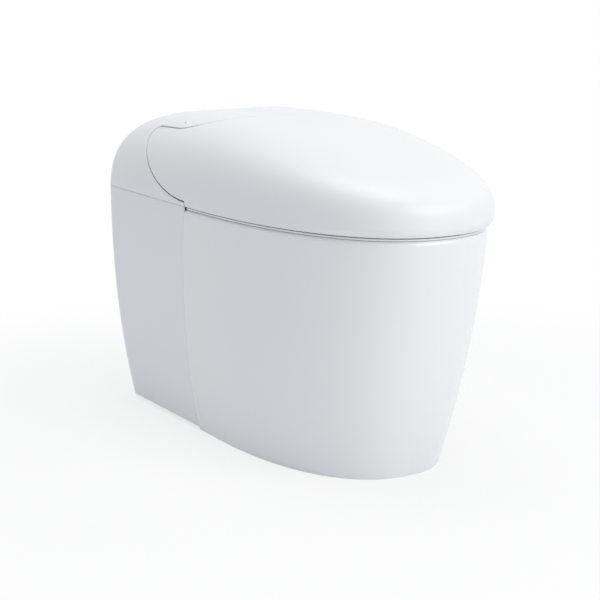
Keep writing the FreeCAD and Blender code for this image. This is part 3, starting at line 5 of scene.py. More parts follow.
import bpy
import numpy as np
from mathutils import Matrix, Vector

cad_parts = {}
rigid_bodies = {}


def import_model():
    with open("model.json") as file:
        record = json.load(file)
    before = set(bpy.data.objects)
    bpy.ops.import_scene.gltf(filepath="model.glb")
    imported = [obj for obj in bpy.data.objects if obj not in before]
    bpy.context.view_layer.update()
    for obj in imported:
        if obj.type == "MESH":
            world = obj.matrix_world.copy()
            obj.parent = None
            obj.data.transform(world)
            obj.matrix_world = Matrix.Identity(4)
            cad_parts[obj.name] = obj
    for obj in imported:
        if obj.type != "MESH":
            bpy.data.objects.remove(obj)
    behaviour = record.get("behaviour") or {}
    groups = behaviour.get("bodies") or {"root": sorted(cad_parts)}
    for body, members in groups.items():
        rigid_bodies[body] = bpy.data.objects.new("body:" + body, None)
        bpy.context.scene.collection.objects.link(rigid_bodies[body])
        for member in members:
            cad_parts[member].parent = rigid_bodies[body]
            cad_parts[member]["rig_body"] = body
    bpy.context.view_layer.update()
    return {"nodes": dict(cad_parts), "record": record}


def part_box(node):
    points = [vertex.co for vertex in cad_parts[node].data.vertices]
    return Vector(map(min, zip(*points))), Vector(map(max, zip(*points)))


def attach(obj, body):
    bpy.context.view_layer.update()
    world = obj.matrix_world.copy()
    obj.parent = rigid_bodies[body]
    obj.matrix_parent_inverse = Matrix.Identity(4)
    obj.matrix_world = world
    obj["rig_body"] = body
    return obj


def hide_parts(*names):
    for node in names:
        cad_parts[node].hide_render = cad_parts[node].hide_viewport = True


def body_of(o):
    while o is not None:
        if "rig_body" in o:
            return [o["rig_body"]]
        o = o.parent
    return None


bl_info = {
    "name": "Smart Toilet Studio",
    "version": (1, 0, 0),
    "blender": (4, 5, 0),
    "location": "View3D > Sidebar > Toilet",
    "description": "Builds the glazed bowl, moulded lid, housing, panels and seat over the frame",
    "category": "Object",
}

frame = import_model()
NODES = frame["nodes"]

# ---------------------------------------------------------------- sizes and finishes


def length(name, value, text):
    """A size in metres, as a slider."""
    return bpy.props.FloatProperty(name=name, description=text, default=value, unit="LENGTH",
                                   subtype="DISTANCE", precision=4)


def colour(name, value, text):
    """A colour, as a swatch."""
    return bpy.props.FloatVectorProperty(name=name, description=text, default=value, size=3,
                                         min=0.0, max=1.0, subtype="COLOR")


def share(name, value, text):
    """A number from 0 to 1, as a slider."""
    return bpy.props.FloatProperty(name=name, description=text, default=value, min=0.0, max=1.0,
                                   subtype="FACTOR")


class ToiletSizes(bpy.types.PropertyGroup):
    """Sizes of the visible forms."""
    depth: length("Depth", 0.800, "Wall to nose")
    seam_level: length("Seam level", 0.406, "Height of the joint between bowl and lid")
    rim_level: length("Rim level", 0.400, "Top of the ceramic rim")
    crown_height: length("Crown height", 0.1428, "Height of the housing above the seam")
    lid_half_width: length("Lid half width", 0.2142, "Half of the lid's greatest width")
    body_half_width: length("Body half width", 0.2085, "Half of the skirt's greatest width")
    foot_half_width: length("Foot half width", 0.164, "Half of the skirt's width at the floor")
    foot_front: length("Foot front", 0.2925, "Origin to the front of the skirt at the floor")
    lid_gap: length("Lid gap", 0.003, "Gap between lid and housing")
    panel_wall: length("Panel wall", 0.003, "Wall of a side panel")
    lip_roll: length("Lip roll", 0.0009, "Radius on the edges of the mouldings")


class ToiletFinish(bpy.types.PropertyGroup):
    """Colours and gloss of the visible finishes."""
    glaze: colour("Glaze", (0.83, 0.84, 0.86), "Colour of the glazed ceramic")
    shell: colour("Shell", (0.83, 0.84, 0.86), "Colour of the moulded lid, housing and panels")
    seat: colour("Seat", (0.81, 0.815, 0.825), "Colour of the seat")
    glaze_roughness: share("Glaze roughness", 0.20, "Roughness of the glaze")
    shell_roughness: share("Shell roughness", 0.36, "Roughness of the mouldings")
    seat_roughness: share("Seat roughness", 0.28, "Roughness of the seat")


def sizes():
    """The scene's sizes."""
    return bpy.context.scene.toilet_sizes


def finish():
    """The scene's finishes."""
    return bpy.context.scene.toilet_finish


# fixed proportions of the forms, in metres where they are lengths

# skirt: half widths at the wall, setback behind the lid's nose, and how early sides and nose flare
REAR_HALF_WIDTH, FOOT_REAR_HALF_WIDTH = 0.2065, 0.166
RIM_SETBACK = 0.0065
SKIRT_SIDE_POWER, SKIRT_FRONT_POWER = 2.3, 1.32
WIDEST_FOOT, WIDEST_TOP = 0.036, 0.057
SKIRT_ALONG, SKIRT_ACROSS, SKIRT_CORNER = 2.3, 2.33, 0.035
LEAST_CORNER = 0.005
GLAZE_ROUND_WIDTH, GLAZE_ROUND_HEIGHT, GLAZE_ON_RIM = 0.006, 0.010, 0.008
GLAZE = {"wall": 0.0012, "roll": 0.0003, "lift": 0.00018}

# dome of lid and housing: plan outline, fall of the crown, pole, powers of a ray and height of the curl
LID_REAR_HALF_WIDTH, LID_WIDEST = 0.2055, 0.200
LID_ALONG, LID_ACROSS, LID_CORNER = 2.54, 2.78, 0.050
CROWN_FALL, CROWN_BREAK, CROWN_BLEND = 0.136, 0.004, 0.062
POLE = 0.160
OUT_REAR, OUT_NOSE, UP_REAR, UP_NOSE = 0.56, 0.44, 0.87, 0.43
LIP_FRONT, LIP_REAR, LIP_FROM, LIP_OVER = 0.015, 0.045, 0.020, 0.160

# joint between lid and housing: the ear's arc and end, the toe below it, and the tongue in plan
ARC_Y, ARC_Z, ARC_RADIUS = 0.0674, 0.6384, 0.2252
EAR_BACK, EAR_ROUND, EAR_CORNER = 0.252, 0.020, 0.011
EAR_FROM, CORNER_FROM = 0.1674, 0.200
TOE_TOP, TOE_FOOT = 0.072, 0.111
TONGUE_HALF_WIDTH, TONGUE_FRONT, TONGUE_CORNER = 0.163, 0.105, 0.073

# skins: where levels give way to rays, their section, and how far the copies lie below them
SPLIT = 0.040
SKIN = {"wall": 0.0012, "roll": 0.0004, "lift": 0.00008}
WINDOW_HALF_WIDTH = 0.112
DRAWN_IN, CORNER_UNDER = 0.001, 0.0006

# side panel: inner edge at the wall, gap at the joint, gaps above the floor and below the seam
PANEL_INNER, PANEL_GAP, PANEL_LIFT, PANEL_TOP_GAP = 0.138, 0.0008, 0.005, 0.0005

# lower edge of the seat: inset from the skirt, height over the rim, half sizes and rear end
EDGE_INSET, EDGE_LEVEL, EDGE_REAR = 0.0065, 0.0024, 0.071
EDGE_HALF_WIDTH, EDGE_HALF_HEIGHT = 0.003, 0.0018
LENS_RISE, LENS_STEM = 0.0006, 0.003

# points of a mesh this close become one
WELD_REACH = 2e-6


# ---------------------------------------------------------------- the forms


def plan_outline(p, half_width, front, widest, rear_half_width, rear, along, across, corner):
    """Half of a plan outline: p runs 0-1 on the flat rear, 1-2 round the rear corner, 2-3 along the
    side and 3-4 round the nose.

    The side draws in by the fourth power of the way to the rear. The nose is a superellipse: x is
    the half width times the sine of a turn to 2/across, and y goes with its cosine to 2/along.
    """
    def side(y):
        """Half width of the side at a y."""
        way = np.clip((y - widest) / (rear - widest), 0, None)
        return half_width - (half_width - rear_half_width) * way ** 4

    flat_end = side(rear - corner) - corner
    q = p - np.floor(np.clip(p, 0, 3.999999))
    turn = np.pi / 2 * (1 - q)
    side_y = rear - corner - (rear - corner - widest) * q
    nose_x = half_width * np.abs(np.sin(turn)) ** (2 / across)
    nose_y = widest - (widest - front) * np.abs(np.cos(turn)) ** (2 / along)
    parts = [p < 1, p < 2, p < 3]
    x = np.select(parts, [flat_end * q, flat_end + corner * np.cos(turn), side(side_y)], nose_x)
    y = np.select(parts, [rear + 0 * q, rear - corner + corner * np.sin(turn), side_y], nose_y)
    return x, y


def lid_plan(p):
    """The dome's outline in plan, at the wall's side as wide as the housing."""
    rear = sizes().depth / 2
    return plan_outline(p, sizes().lid_half_width, -rear, LID_WIDEST, LID_REAR_HALF_WIDTH, rear,
                        LID_ALONG, LID_ACROSS, LID_CORNER)


def skirt_plan(p, level, inset=0.0):
    """The skirt's outline at a height: widths and nose flare by one minus a falling power."""
    part = np.clip(level / sizes().seam_level, 0, 1)
    wide = 1 - (1 - part) ** SKIRT_SIDE_POWER
    nose = 1 - (1 - part) ** SKIRT_FRONT_POWER
    rear = sizes().depth / 2
    half = sizes().foot_half_width + (sizes().body_half_width - sizes().foot_half_width) * wide
    back = FOOT_REAR_HALF_WIDTH + (REAR_HALF_WIDTH - FOOT_REAR_HALF_WIDTH) * wide
    front = -sizes().foot_front + (sizes().foot_front - rear + RIM_SETBACK) * nose
    widest = WIDEST_FOOT + (WIDEST_TOP - WIDEST_FOOT) * part
    return plan_outline(p, half - inset, front + inset, widest, back - inset, rear - inset,
                        SKIRT_ALONG, SKIRT_ACROSS, skirt_corner(inset))


def skirt_corner(inset):
    """Radius of the skirt's rear corners on an outline that lies an inset further in."""
    return np.maximum(SKIRT_CORNER - inset, LEAST_CORNER)


def skirt_joint(level):
    """y of the joint between skirt and side panel: a straight line from foot to top."""
    return TOE_FOOT + (TOE_TOP - TOE_FOOT) * level / sizes().seam_level


def skirt_turn(y, level, inset=0.0):
    """The p at which the skirt's side has a y: it runs evenly from the corner to the widest place."""
    corner_end = sizes().depth / 2 - inset - skirt_corner(inset)
    widest = WIDEST_FOOT + (WIDEST_TOP - WIDEST_FOOT) * level / sizes().seam_level
    return 2 + (corner_end - y) / (corner_end - widest)


def crown(y):
    """Height of the crowned top above the seam: level at the rear, then a steady fall to the nose."""
    ahead = y - CROWN_BREAK
    return sizes().crown_height - CROWN_FALL / 2 * (np.hypot(ahead, CROWN_BLEND) - ahead)


def dome_point(s, t):
    """A point of the form that lid and housing share.

    s goes round the outline from 0 at the rear to 4 at the nose, to -4 on the left, and t climbs
    from the rim at 0 to the pole at a right angle. Along each ray the share outward is cos(t) and
    the share upward sin(t), each to a power that changes from wall to nose. The lowest stretch
    curls in to the skirt's outline.
    """
    x, y = lid_plan(np.abs(s))
    skirt_x, skirt_y = skirt_plan(np.abs(s), sizes().seam_level + 0 * s)
    ahead = (sizes().depth / 2 - y) / sizes().depth
    out = np.abs(np.cos(t)) ** (OUT_REAR + (OUT_NOSE - OUT_REAR) * ahead)
    up = np.abs(np.sin(t)) ** (UP_REAR + (UP_NOSE - UP_REAR) * ahead)
    spot = POLE + out * (y - POLE)
    rise = up * crown(spot)
    curl = LIP_FRONT + (LIP_REAR - LIP_FRONT) * np.clip((y - LIP_FROM) / LIP_OVER, 0, 1)
    drawn = np.clip(1 - rise / curl, 0, None) ** 2
    return np.stack([(out * x + (skirt_x - x) * drawn) * np.sign(s), spot + (skirt_y - y) * drawn,
                     sizes().seam_level + rise], -1)


def lid_side(points, back):
    """Signed distance that is negative where the lid is, with the joint moved back by an amount.

    In side view the lid ends at an arc with a rounded end, and in plan at the tongue with rounded
    corners; the larger of the two distances counts, rounded where the ear ends beside the tongue.
    """
    x, y, z = np.abs(points[..., 0]), points[..., 1], points[..., 2]
    radius, small, end = ARC_RADIUS + back, EAR_ROUND + back, EAR_BACK + back
    knuckle_y = end - small
    drop = math.sqrt((radius - small) ** 2 - (knuckle_y - ARC_Y) ** 2)
    knuckle_z = ARC_Z - drop
    to_arc = np.hypot(y - ARC_Y, z - ARC_Z) - radius
    to_knuckle = np.hypot(y - knuckle_y, z - knuckle_z) - small
    beyond = (y - ARC_Y) * drop + (z - ARC_Z) * (knuckle_y - ARC_Y) > 0
    ear = np.where((z > knuckle_z) & (y > EAR_FROM), y - end, np.where(beyond, to_knuckle, to_arc))
    toe = TOE_TOP + back
    toe_z = ARC_Z - math.sqrt(radius ** 2 - (toe - ARC_Y) ** 2)
    ear = np.where(z < toe_z, np.maximum(ear, y - toe), ear)
    ear = np.where(y < toe, np.minimum(ear, y - toe), ear)
    half, front, corner = TONGUE_HALF_WIDTH - back, TONGUE_FRONT + back, TONGUE_CORNER - back
    over_x, over_y = x - half + corner, front + corner - y
    tongue = np.minimum(np.maximum(over_x, over_y), 0)
    tongue = tongue + np.hypot(np.clip(over_x, 0, None), np.clip(over_y, 0, None)) - corner
    round_by = EAR_CORNER + back
    past_ear, past_tongue = ear + round_by, round_by - tongue
    both = np.minimum(np.maximum(past_ear, past_tongue), 0) - round_by
    both = both + np.hypot(np.clip(past_ear, 0, None), np.clip(past_tongue, 0, None))
    return np.where(y > CORNER_FROM, both, np.maximum(ear, -tongue))


def even_turns(low, high, count):
    """Values of s between two limits, evenly spaced along the lid's outline."""
    dense = np.linspace(low, high, 4000)
    x, y = lid_plan(dense)
    way = np.concatenate([[0], np.cumsum(np.hypot(np.diff(x), np.diff(y)))])
    return np.interp(np.linspace(0, way[-1], count), way, dense)


# ---------------------------------------------------------------- meshes


def grid_faces(rows, columns, first=0):
    """Quads of a grid whose points are stored row by row."""
    index = first + np.arange(rows * columns).reshape(rows, columns)
    return np.stack([index[:-1, :-1], index[:-1, 1:], index[1:, 1:], index[1:, :-1]], -1).reshape(-1, 4)


def welded(vertices, faces):
    """Points that all but touch become one, and faces that lose a side become triangles."""
    key = np.round(vertices / WELD_REACH).astype(np.int64)
    _, first, back = np.unique(key, axis=0, return_index=True, return_inverse=True)
    faces = back.reshape(-1)[faces]
    same = faces == np.roll(faces, -1, axis=1)
    full = faces[~same.any(1)]
    short = faces[same.sum(1) == 1]
    keep = ~same[same.sum(1) == 1]
    triangles = short[keep].reshape(-1, 3)
    return vertices[first], full, triangles


def normals_of(vertices, quads, triangles):
    """Unit normals at the points, each the sum of the normals of the faces round it."""
    total = np.zeros_like(vertices)
    for faces in (quads, triangles):
        if len(faces):
            a, b, c = vertices[faces[:, 0]], vertices[faces[:, 1]], vertices[faces[:, 2]]
            d = vertices[faces[:, -1]]
            across = np.cross(c - a, d - b) if faces.shape[1] == 4 else np.cross(b - a, c - a)
            across = across / np.maximum(np.linalg.norm(across, axis=1, keepdims=True), 1e-12) ** 0.5
            for corner in faces.T:
                np.add.at(total, corner, across)
    return total / np.maximum(np.linalg.norm(total, axis=1, keepdims=True), 1e-12)


def moulded(vertices, quads, triangles, wall, roll):
    """A thin moulding: the outer surface, an inner one a wall below it, and rolled edges.

    The edge points draw back by the roll radius along the surface, and rings of points go round a
    quarter circle, down the wall and round another quarter circle to the inner surface.
    """
    up = normals_of(vertices, quads, triangles)
    sides = [np.stack([quads[:, i], quads[:, (i + 1) % 4]], -1) for i in range(4)]
    if len(triangles):
        sides += [np.stack([triangles[:, i], triangles[:, (i + 1) % 3]], -1) for i in range(3)]
    sides = np.concatenate(sides)
    low, high = sides.min(1), sides.max(1)
    code = low * len(vertices) + high
    _, first, count = np.unique(code, return_index=True, return_counts=True)
    rim = sides[first[count == 1]]
    along = vertices[rim[:, 1]] - vertices[rim[:, 0]]
    outward = np.cross(along, up[rim[:, 0]] + up[rim[:, 1]])
    out = np.zeros_like(vertices)
    for corner in rim.T:
        np.add.at(out, corner, outward)
    edge = np.unique(rim)
    out[edge] /= np.maximum(np.linalg.norm(out[edge], axis=1, keepdims=True), 1e-12)
    reach = np.full(len(vertices), 1.0)
    span = np.linalg.norm(vertices[sides[:, 0]] - vertices[sides[:, 1]], axis=1)
    np.minimum.at(reach, sides[:, 0], span)
    np.minimum.at(reach, sides[:, 1], span)
    back = np.minimum(roll, 0.45 * reach[edge])[:, None]
    outer = vertices.copy()
    outer[edge] -= out[edge] * back
    inner = vertices - up * wall
    inner[edge] -= out[edge] * back
    turns = np.radians([30, 60, 90])
    falls = roll * (1 - np.cos(turns))
    rings = []
    for turn, fall in zip([*turns, *turns[::-1]], [*falls, *(wall - falls[::-1])]):
        rings.append(vertices[edge] - out[edge] * back * (1 - np.sin(turn)) - up[edge] * fall)
    count = len(vertices)
    place = np.full(count, -1)
    place[edge] = np.arange(len(edge))
    levels = [rim] + [2 * count + k * len(edge) + place[rim] for k in range(6)] + [rim + count]
    strips = [np.stack([a[:, 1], a[:, 0], b[:, 0], b[:, 1]], -1) for a, b in zip(levels, levels[1:])]
    points = np.concatenate([outer, inner] + rings)
    return points, [quads, quads[:, ::-1] + count] + strips, [triangles, triangles[:, ::-1] + count]


def piece(name, points, quads, triangles, body, replaced, slot):
    """Put points and lists of faces into a mesh object that rides on a body and stands for CAD nodes."""
    quads = np.concatenate([np.zeros((0, 4), int), *quads])
    triangles = np.concatenate([np.zeros((0, 3), int), *triangles])
    mesh = bpy.data.meshes.new(name)
    mesh.vertices.add(len(points))
    mesh.vertices.foreach_set("co", np.asarray(points, np.float32).ravel())
    corners = np.concatenate([quads.ravel(), triangles.ravel()])
    starts = np.concatenate([np.arange(len(quads)) * 4, 4 * len(quads) + np.arange(len(triangles)) * 3])
    mesh.loops.add(len(corners))
    mesh.loops.foreach_set("vertex_index", corners.astype(np.int32))
    mesh.polygons.add(len(starts))
    mesh.polygons.foreach_set("loop_start", starts.astype(np.int32))
    mesh.polygons.foreach_set("use_smooth", np.full(len(starts), True))
    mesh.update(calc_edges=True)
    if mesh.validate():
        raise RuntimeError("the mesh of %s had faults" % name)
    mesh.materials.append(material_of(slot))
    obj = bpy.data.objects.new(name, mesh)
    bpy.context.scene.collection.objects.link(obj)
    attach(obj, body)
    if replaced:
        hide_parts(*replaced)
    return obj


# ---------------------------------------------------------------- rays of the dome


def crossing(s, inside, outside, back):
    """The t at which rays cross the lid's limit, found by halving between two values."""
    for _ in range(40):
        middle = (inside + outside) / 2
        in_lid = lid_side(dome_point(s, middle), back) < 0
        inside, outside = np.where(in_lid, middle, inside), np.where(in_lid, outside, middle)
    return (inside + outside) / 2


def lid_span(s, back):
    """Lower and upper t of the lid on each ray above the split, its deepest t, and how deep that is."""
    foot = t_at(s, SPLIT)
    column, row = np.arange(400), np.arange(len(s))
    t = foot[:, None] + (np.pi / 2 - foot[:, None]) * column / column[-1]
    side = lid_side(dome_point(s[:, None] + 0 * t, t), back)
    deepest = side.argmin(1)
    above = np.where((side > 0) & (column > deepest[:, None]), column, column[-1]).min(1)
    below = np.where((side > 0) & (column < deepest[:, None]), column, -1).max(1)
    high = crossing(s, t[row, above - 1], t[row, above], back)
    low = np.where(below < 0, foot, crossing(s, t[row, below + 1], t[row, np.maximum(below, 0)], back))
    return low, high, t[row, deepest], side.min(1)


def ear_end(back):
    """s and t at which the ear ends beside the tongue: the last ray that meets the lid."""
    low, high = 2.0, 3.0
    for _ in range(5):
        trial = np.linspace(low, high, 60)
        depth = lid_span(trial, back)[3]
        last = np.argmax(depth < 0)
        low, high = trial[max(last - 1, 0)], trial[last]
    return high, lid_span(np.array([high]), back)[2][0]


def t_at(s, rise):
    """The t at which rays reach a height above the seam, found by halving."""
    low, high = 0 * s, 0 * s + np.pi / 2
    for _ in range(40):
        middle = (low + high) / 2
        under = dome_point(s, middle)[..., 2] < sizes().seam_level + rise
        low, high = np.where(under, middle, low), np.where(under, high, middle)
    return (low + high) / 2


def joint_turn(rise, back):
    """The s at which a level's outline meets the lid's rear limit: the arc, and the toe below it."""
    radius, below = ARC_RADIUS + back, ARC_Z - sizes().seam_level - rise
    limit = np.maximum(TOE_TOP + back, ARC_Y + np.sqrt(np.clip(radius ** 2 - below ** 2, 0, None)))
    low, high = 2 + 0 * rise, 4 + 0 * rise
    for _ in range(40):
        middle = (low + high) / 2
        behind = dome_point(middle, t_at(middle, rise))[..., 1] > limit
        low, high = np.where(behind, middle, low), np.where(behind, high, middle)
    return (low + high) / 2


def low_levels(back):
    """Heights above the seam up to the split: even at the toe, then with the square of the row, which
    spaces the points of the arc evenly."""
    toe = ARC_Z - sizes().seam_level - math.sqrt((ARC_RADIUS + back) ** 2 - (TOE_TOP + back - ARC_Y) ** 2)
    return np.concatenate([np.linspace(0, toe, 8)[:-1], toe + (SPLIT - toe) * np.linspace(0, 1, 34) ** 2])


def even_rows(s, low, high, count):
    """t on each ray at even distances along it, from its lower to its upper limit."""
    dense = np.linspace(0, 1, 500) ** 2
    t = low[:, None] + (high - low)[:, None] * dense
    line = dome_point(s[:, None], t)
    way = np.cumsum(np.linalg.norm(np.diff(line, axis=1), axis=2), axis=1)
    way = np.concatenate([np.zeros((len(s), 1)), way], 1) / np.maximum(way[:, -1:], 1e-9)
    goal = np.linspace(0, 1, count)
    after = np.clip((way[:, None, :] < goal[None, :, None]).sum(2), 1, len(dense) - 1)
    w0, w1 = np.take_along_axis(way, after - 1, 1), np.take_along_axis(way, after, 1)
    part = np.clip((goal - w0) / np.maximum(w1 - w0, 1e-12), 0, 1)
    rows = np.take_along_axis(t, after - 1, 1) * (1 - part) + np.take_along_axis(t, after, 1) * part
    rows[:, 0], rows[:, -1] = low, high
    return rows


def closing(low, high, count):
    """Values from low to high that crowd towards low, where the ear's outline closes."""
    return low + (high - low) * np.linspace(0, 1, count) ** 2


# ---------------------------------------------------------------- materials


COAT_ROUGHNESS = 0.12
CLOUD_SCALE, GRAIN_SCALE, LINE_SCALE, LINE_STRETCH = 7.0, 900.0, 900.0, 12.0
LINE_DEPTH = 0.00003


def noise(nodes, links, vector, scale, detail=2.0):
    """A noise texture on a vector."""
    texture = nodes.new("ShaderNodeTexNoise")
    texture.inputs["Scale"].default_value = scale
    texture.inputs["Detail"].default_value = detail
    links.new(vector, texture.inputs["Vector"])
    return texture


def spread_roughness(nodes, links, shader, texture, low, high):
    """Roughness between two values, as a texture goes from dark to light."""
    gloss = nodes.new("ShaderNodeMapRange")
    gloss.inputs["To Min"].default_value = low
    gloss.inputs["To Max"].default_value = high
    links.new(texture.outputs["Fac"], gloss.inputs["Value"])
    links.new(gloss.outputs["Result"], shader.inputs["Roughness"])


def raised(nodes, links, shader, texture, depth):
    """Relief of a depth in metres from a texture."""
    bump = nodes.new("ShaderNodeBump")
    bump.inputs["Strength"].default_value = 1.0
    bump.inputs["Distance"].default_value = depth
    links.new(texture.outputs["Fac"], bump.inputs["Height"])
    links.new(bump.outputs["Normal"], shader.inputs["Normal"])


def finish_material(name, base, roughness, coat=0.0, ripple=0.0, ripple_scale=60.0, mottle=0.01,
                    grain=0.0):
    """A surface with faint mottling of its colour, uneven gloss and a shallow ripple or grain."""
    material = bpy.data.materials.new(name)
    material.use_nodes = True
    nodes, links = material.node_tree.nodes, material.node_tree.links
    shader = nodes["Principled BSDF"]
    shader.inputs["Coat Weight"].default_value = coat
    shader.inputs["Coat Roughness"].default_value = COAT_ROUGHNESS
    place = nodes.new("ShaderNodeTexCoord").outputs["Object"]
    cloud = noise(nodes, links, place, CLOUD_SCALE, 3.0)
    tint = nodes.new("ShaderNodeMix")
    tint.data_type = "RGBA"
    tint.inputs["A"].default_value = (*[max(0.0, c * (1 - mottle)) for c in base], 1)
    tint.inputs["B"].default_value = (*[min(1.0, c * (1 + mottle)) for c in base], 1)
    links.new(cloud.outputs["Fac"], tint.inputs["Factor"])
    links.new(tint.outputs["Result"], shader.inputs["Base Color"])
    spread_roughness(nodes, links, shader, cloud, roughness * 0.85, min(1.0, roughness * 1.15))
    if ripple:
        raised(nodes, links, shader, noise(nodes, links, place, ripple_scale, 1.0), ripple)
    elif grain:
        raised(nodes, links, shader, noise(nodes, links, place, GRAIN_SCALE), grain)
    return material


def brushed_material(name, base, roughness, direction):
    """Metal with fine lines along one axis: noise stretched by a mapping."""
    material = bpy.data.materials.new(name)
    material.use_nodes = True
    nodes, links = material.node_tree.nodes, material.node_tree.links
    shader = nodes["Principled BSDF"]
    shader.inputs["Metallic"].default_value = 1.0
    shader.inputs["Base Color"].default_value = (*base, 1)
    stretch = nodes.new("ShaderNodeMapping")
    scales = [LINE_STRETCH if axis == direction else LINE_SCALE for axis in "XYZ"]
    stretch.inputs["Scale"].default_value = scales
    links.new(nodes.new("ShaderNodeTexCoord").outputs["Object"], stretch.inputs["Vector"])
    lines = noise(nodes, links, stretch.outputs["Vector"], 1.0)
    spread_roughness(nodes, links, shader, lines, roughness * 0.7, roughness * 1.3)
    raised(nodes, links, shader, lines, LINE_DEPTH)
    return material


def glaze():
    """Glazed ceramic: a clear coat over a faint, slow ripple."""
    return finish_material("glazed_ceramic", finish().glaze, finish().glaze_roughness, coat=0.25,
                           ripple=0.00006, ripple_scale=28.0, mottle=0.008)


def shell_plastic():
    """The satin moulding of lid, housing and panels."""
    return finish_material("gloss_moulding", finish().shell, finish().shell_roughness, ripple=0.00002,
                           ripple_scale=40.0, mottle=0.006)


def seat_plastic():
    """The seat's moulding, a little glossier than the shells."""
    return finish_material("seat_moulding", finish().seat, finish().seat_roughness, ripple=0.00002,
                           ripple_scale=70.0, mottle=0.006)


def slot_materials():
    """One finish for each material slot of the record."""
    return {
        "ceramic": glaze(),
        "shell": shell_plastic(),
        "seat_white": seat_plastic(),
        "grey_plastic": finish_material("grey_moulding", (0.11, 0.115, 0.125), 0.45,
                                        grain=0.00002, mottle=0.05),
        "white_plastic": finish_material("white_moulding", (0.62, 0.63, 0.64), 0.38,
                                         grain=0.000015, mottle=0.02),
        "black_plastic": finish_material("black_moulding", (0.012, 0.012, 0.014), 0.42,
                                         grain=0.00002, mottle=0.1),
        "acetal": finish_material("natural_acetal", (0.60, 0.58, 0.50), 0.35, grain=0.00001, mottle=0.03),
        "rubber": finish_material("soft_rubber", (0.020, 0.020, 0.022), 0.62, grain=0.00003, mottle=0.15),
        "pipe": finish_material("dark_pipe", (0.035, 0.037, 0.040), 0.40, grain=0.00002, mottle=0.08),
        "steel": brushed_material("brushed_steel", (0.50, 0.51, 0.52), 0.32, "Z"),
        "motor": brushed_material("plated_can", (0.42, 0.43, 0.45), 0.30, "X"),
        "brass": brushed_material("turned_brass", (0.68, 0.48, 0.20), 0.28, "Y"),
        "board": finish_material("circuit_board", (0.010, 0.085, 0.030), 0.35, grain=0.00003, mottle=0.3),
        "heater": brushed_material("heater_fins", (0.60, 0.60, 0.61), 0.35, "Z"),
        "mat": finish_material("heater_foil", (0.62, 0.20, 0.03), 0.40, grain=0.00004, mottle=0.15),
        "lens": finish_material("dark_lens", (0.012, 0.014, 0.020), 0.12, mottle=0.1),
    }


MATERIALS = {}


def material_of(slot):
    """The finish of a slot; the first call makes them all."""
    if not MATERIALS:
        MATERIALS.update(slot_materials())
    return MATERIALS[slot]


# ---------------------------------------------------------------- copies of frame nodes


SLOT_OF = {part["node"]: part["material_slot"] for part in frame["record"]["subparts"]}


def corner_trimmed(points):
    """Points of the lid with the ears' corners beside the tongue drawn in to their rounding."""
    over = lid_side(points, -sizes().lid_gap) + CORNER_UNDER
    near = (points[:, 1] > CORNER_FROM) & (np.abs(points[:, 0]) < TONGUE_HALF_WIDTH + EAR_ROUND)
    over = np.where(near, over.clip(0), 0)
    aside = np.stack([np.sign(points[:, 0]), 0 * over - 1, 0 * over], 1) * math.sqrt(0.5)
    return points + aside * np.where(over > 2 * CORNER_UNDER, over, 0)[:, None]


def merged_copy(name, node, sharp_from=32.0, centre=None):
    """A frame node's loose triangles with their doubles merged, shaded smooth up to an angle.

    Under a skin, what faces away from a centre is drawn in by up to a millimetre along its normals.
    """
    source = NODES[node].data
    points = np.zeros(len(source.vertices) * 3, np.float32)
    source.vertices.foreach_get("co", points)
    corners = np.zeros(len(source.loops), np.int32)
    source.loops.foreach_get("vertex_index", corners)
    key = np.round(points.reshape(-1, 3) / WELD_REACH).astype(np.int64)
    _, first, back = np.unique(key, axis=0, return_index=True, return_inverse=True)
    triangles = back.reshape(-1)[corners].reshape(-1, 3)
    triangles = triangles[~(triangles == np.roll(triangles, -1, axis=1)).any(1)]
    points = points.reshape(-1, 3)[first].astype(float)
    if node == "lid":
        points = corner_trimmed(points)
    if centre:
        up = normals_of(points, np.zeros((0, 4), int), triangles)
        out = points - np.array(centre)
        facing = np.clip((up * out).sum(1) / np.linalg.norm(out, axis=1), 0, 1)
        points -= up * facing[:, None] * DRAWN_IN
    obj = piece(name, points, [], [triangles], body_of(NODES[node])[0], [node], SLOT_OF[node])
    obj.data.set_sharp_from_angle(angle=math.radians(sharp_from))
    return obj


def outwards(points, quads, triangles, inner):
    """Faces turned, if need be, so that on the whole they look away from an inner point."""
    a, b, c = points[quads[:, 0]], points[quads[:, 1]], points[quads[:, 2]]
    away = np.einsum("ij,ij->i", np.cross(b - a, c - a), (a + c) / 2 - np.asarray(inner)).sum()
    return (quads, triangles) if away > 0 else (quads[:, ::-1], triangles[:, ::-1])


def joined(grids):
    """Grids of points as one list of points and quads."""
    points, quads, first = [], [], 0
    for grid in grids:
        rows, columns = grid.shape[:2]
        points.append(grid.reshape(-1, 3))
        quads.append(grid_faces(rows, columns, first))
        first += rows * columns
    return np.concatenate(points), np.concatenate(quads)


def shell_piece(name, grids, inner, body, replaced, slot, wall, roll, lift=0.0):
    """A closed moulding from grids of its outer surface, which a lift moves out along its normals."""
    points, quads = joined(grids)
    points, quads, triangles = welded(points, quads)
    quads, triangles = outwards(points, quads, triangles, inner)
    points = points + normals_of(points, quads, triangles) * lift
    points, quads, triangles = moulded(points, quads, triangles, wall, roll)
    return piece(name, points, quads, triangles, body, replaced, slot)


def capped(grid):
    """A tube from a grid whose first row closes on its last, with a fan of triangles over each end."""
    rows, columns = len(grid) - 1, grid.shape[1]
    points, quads = joined([grid])
    quads = np.where(quads >= rows * columns, quads - rows * columns, quads)
    first, last = np.arange(rows) * columns, np.arange(rows) * columns + columns - 1
    hub = rows * columns
    fans = np.concatenate([np.stack([first, np.roll(first, -1), hub + 0 * first], -1),
                           np.stack([np.roll(last, -1), last, hub + 1 + 0 * last], -1)])
    ends = [grid[:-1, 0].mean(0), grid[:-1, -1].mean(0)]
    return np.concatenate([points[:hub], ends]), quads, fans


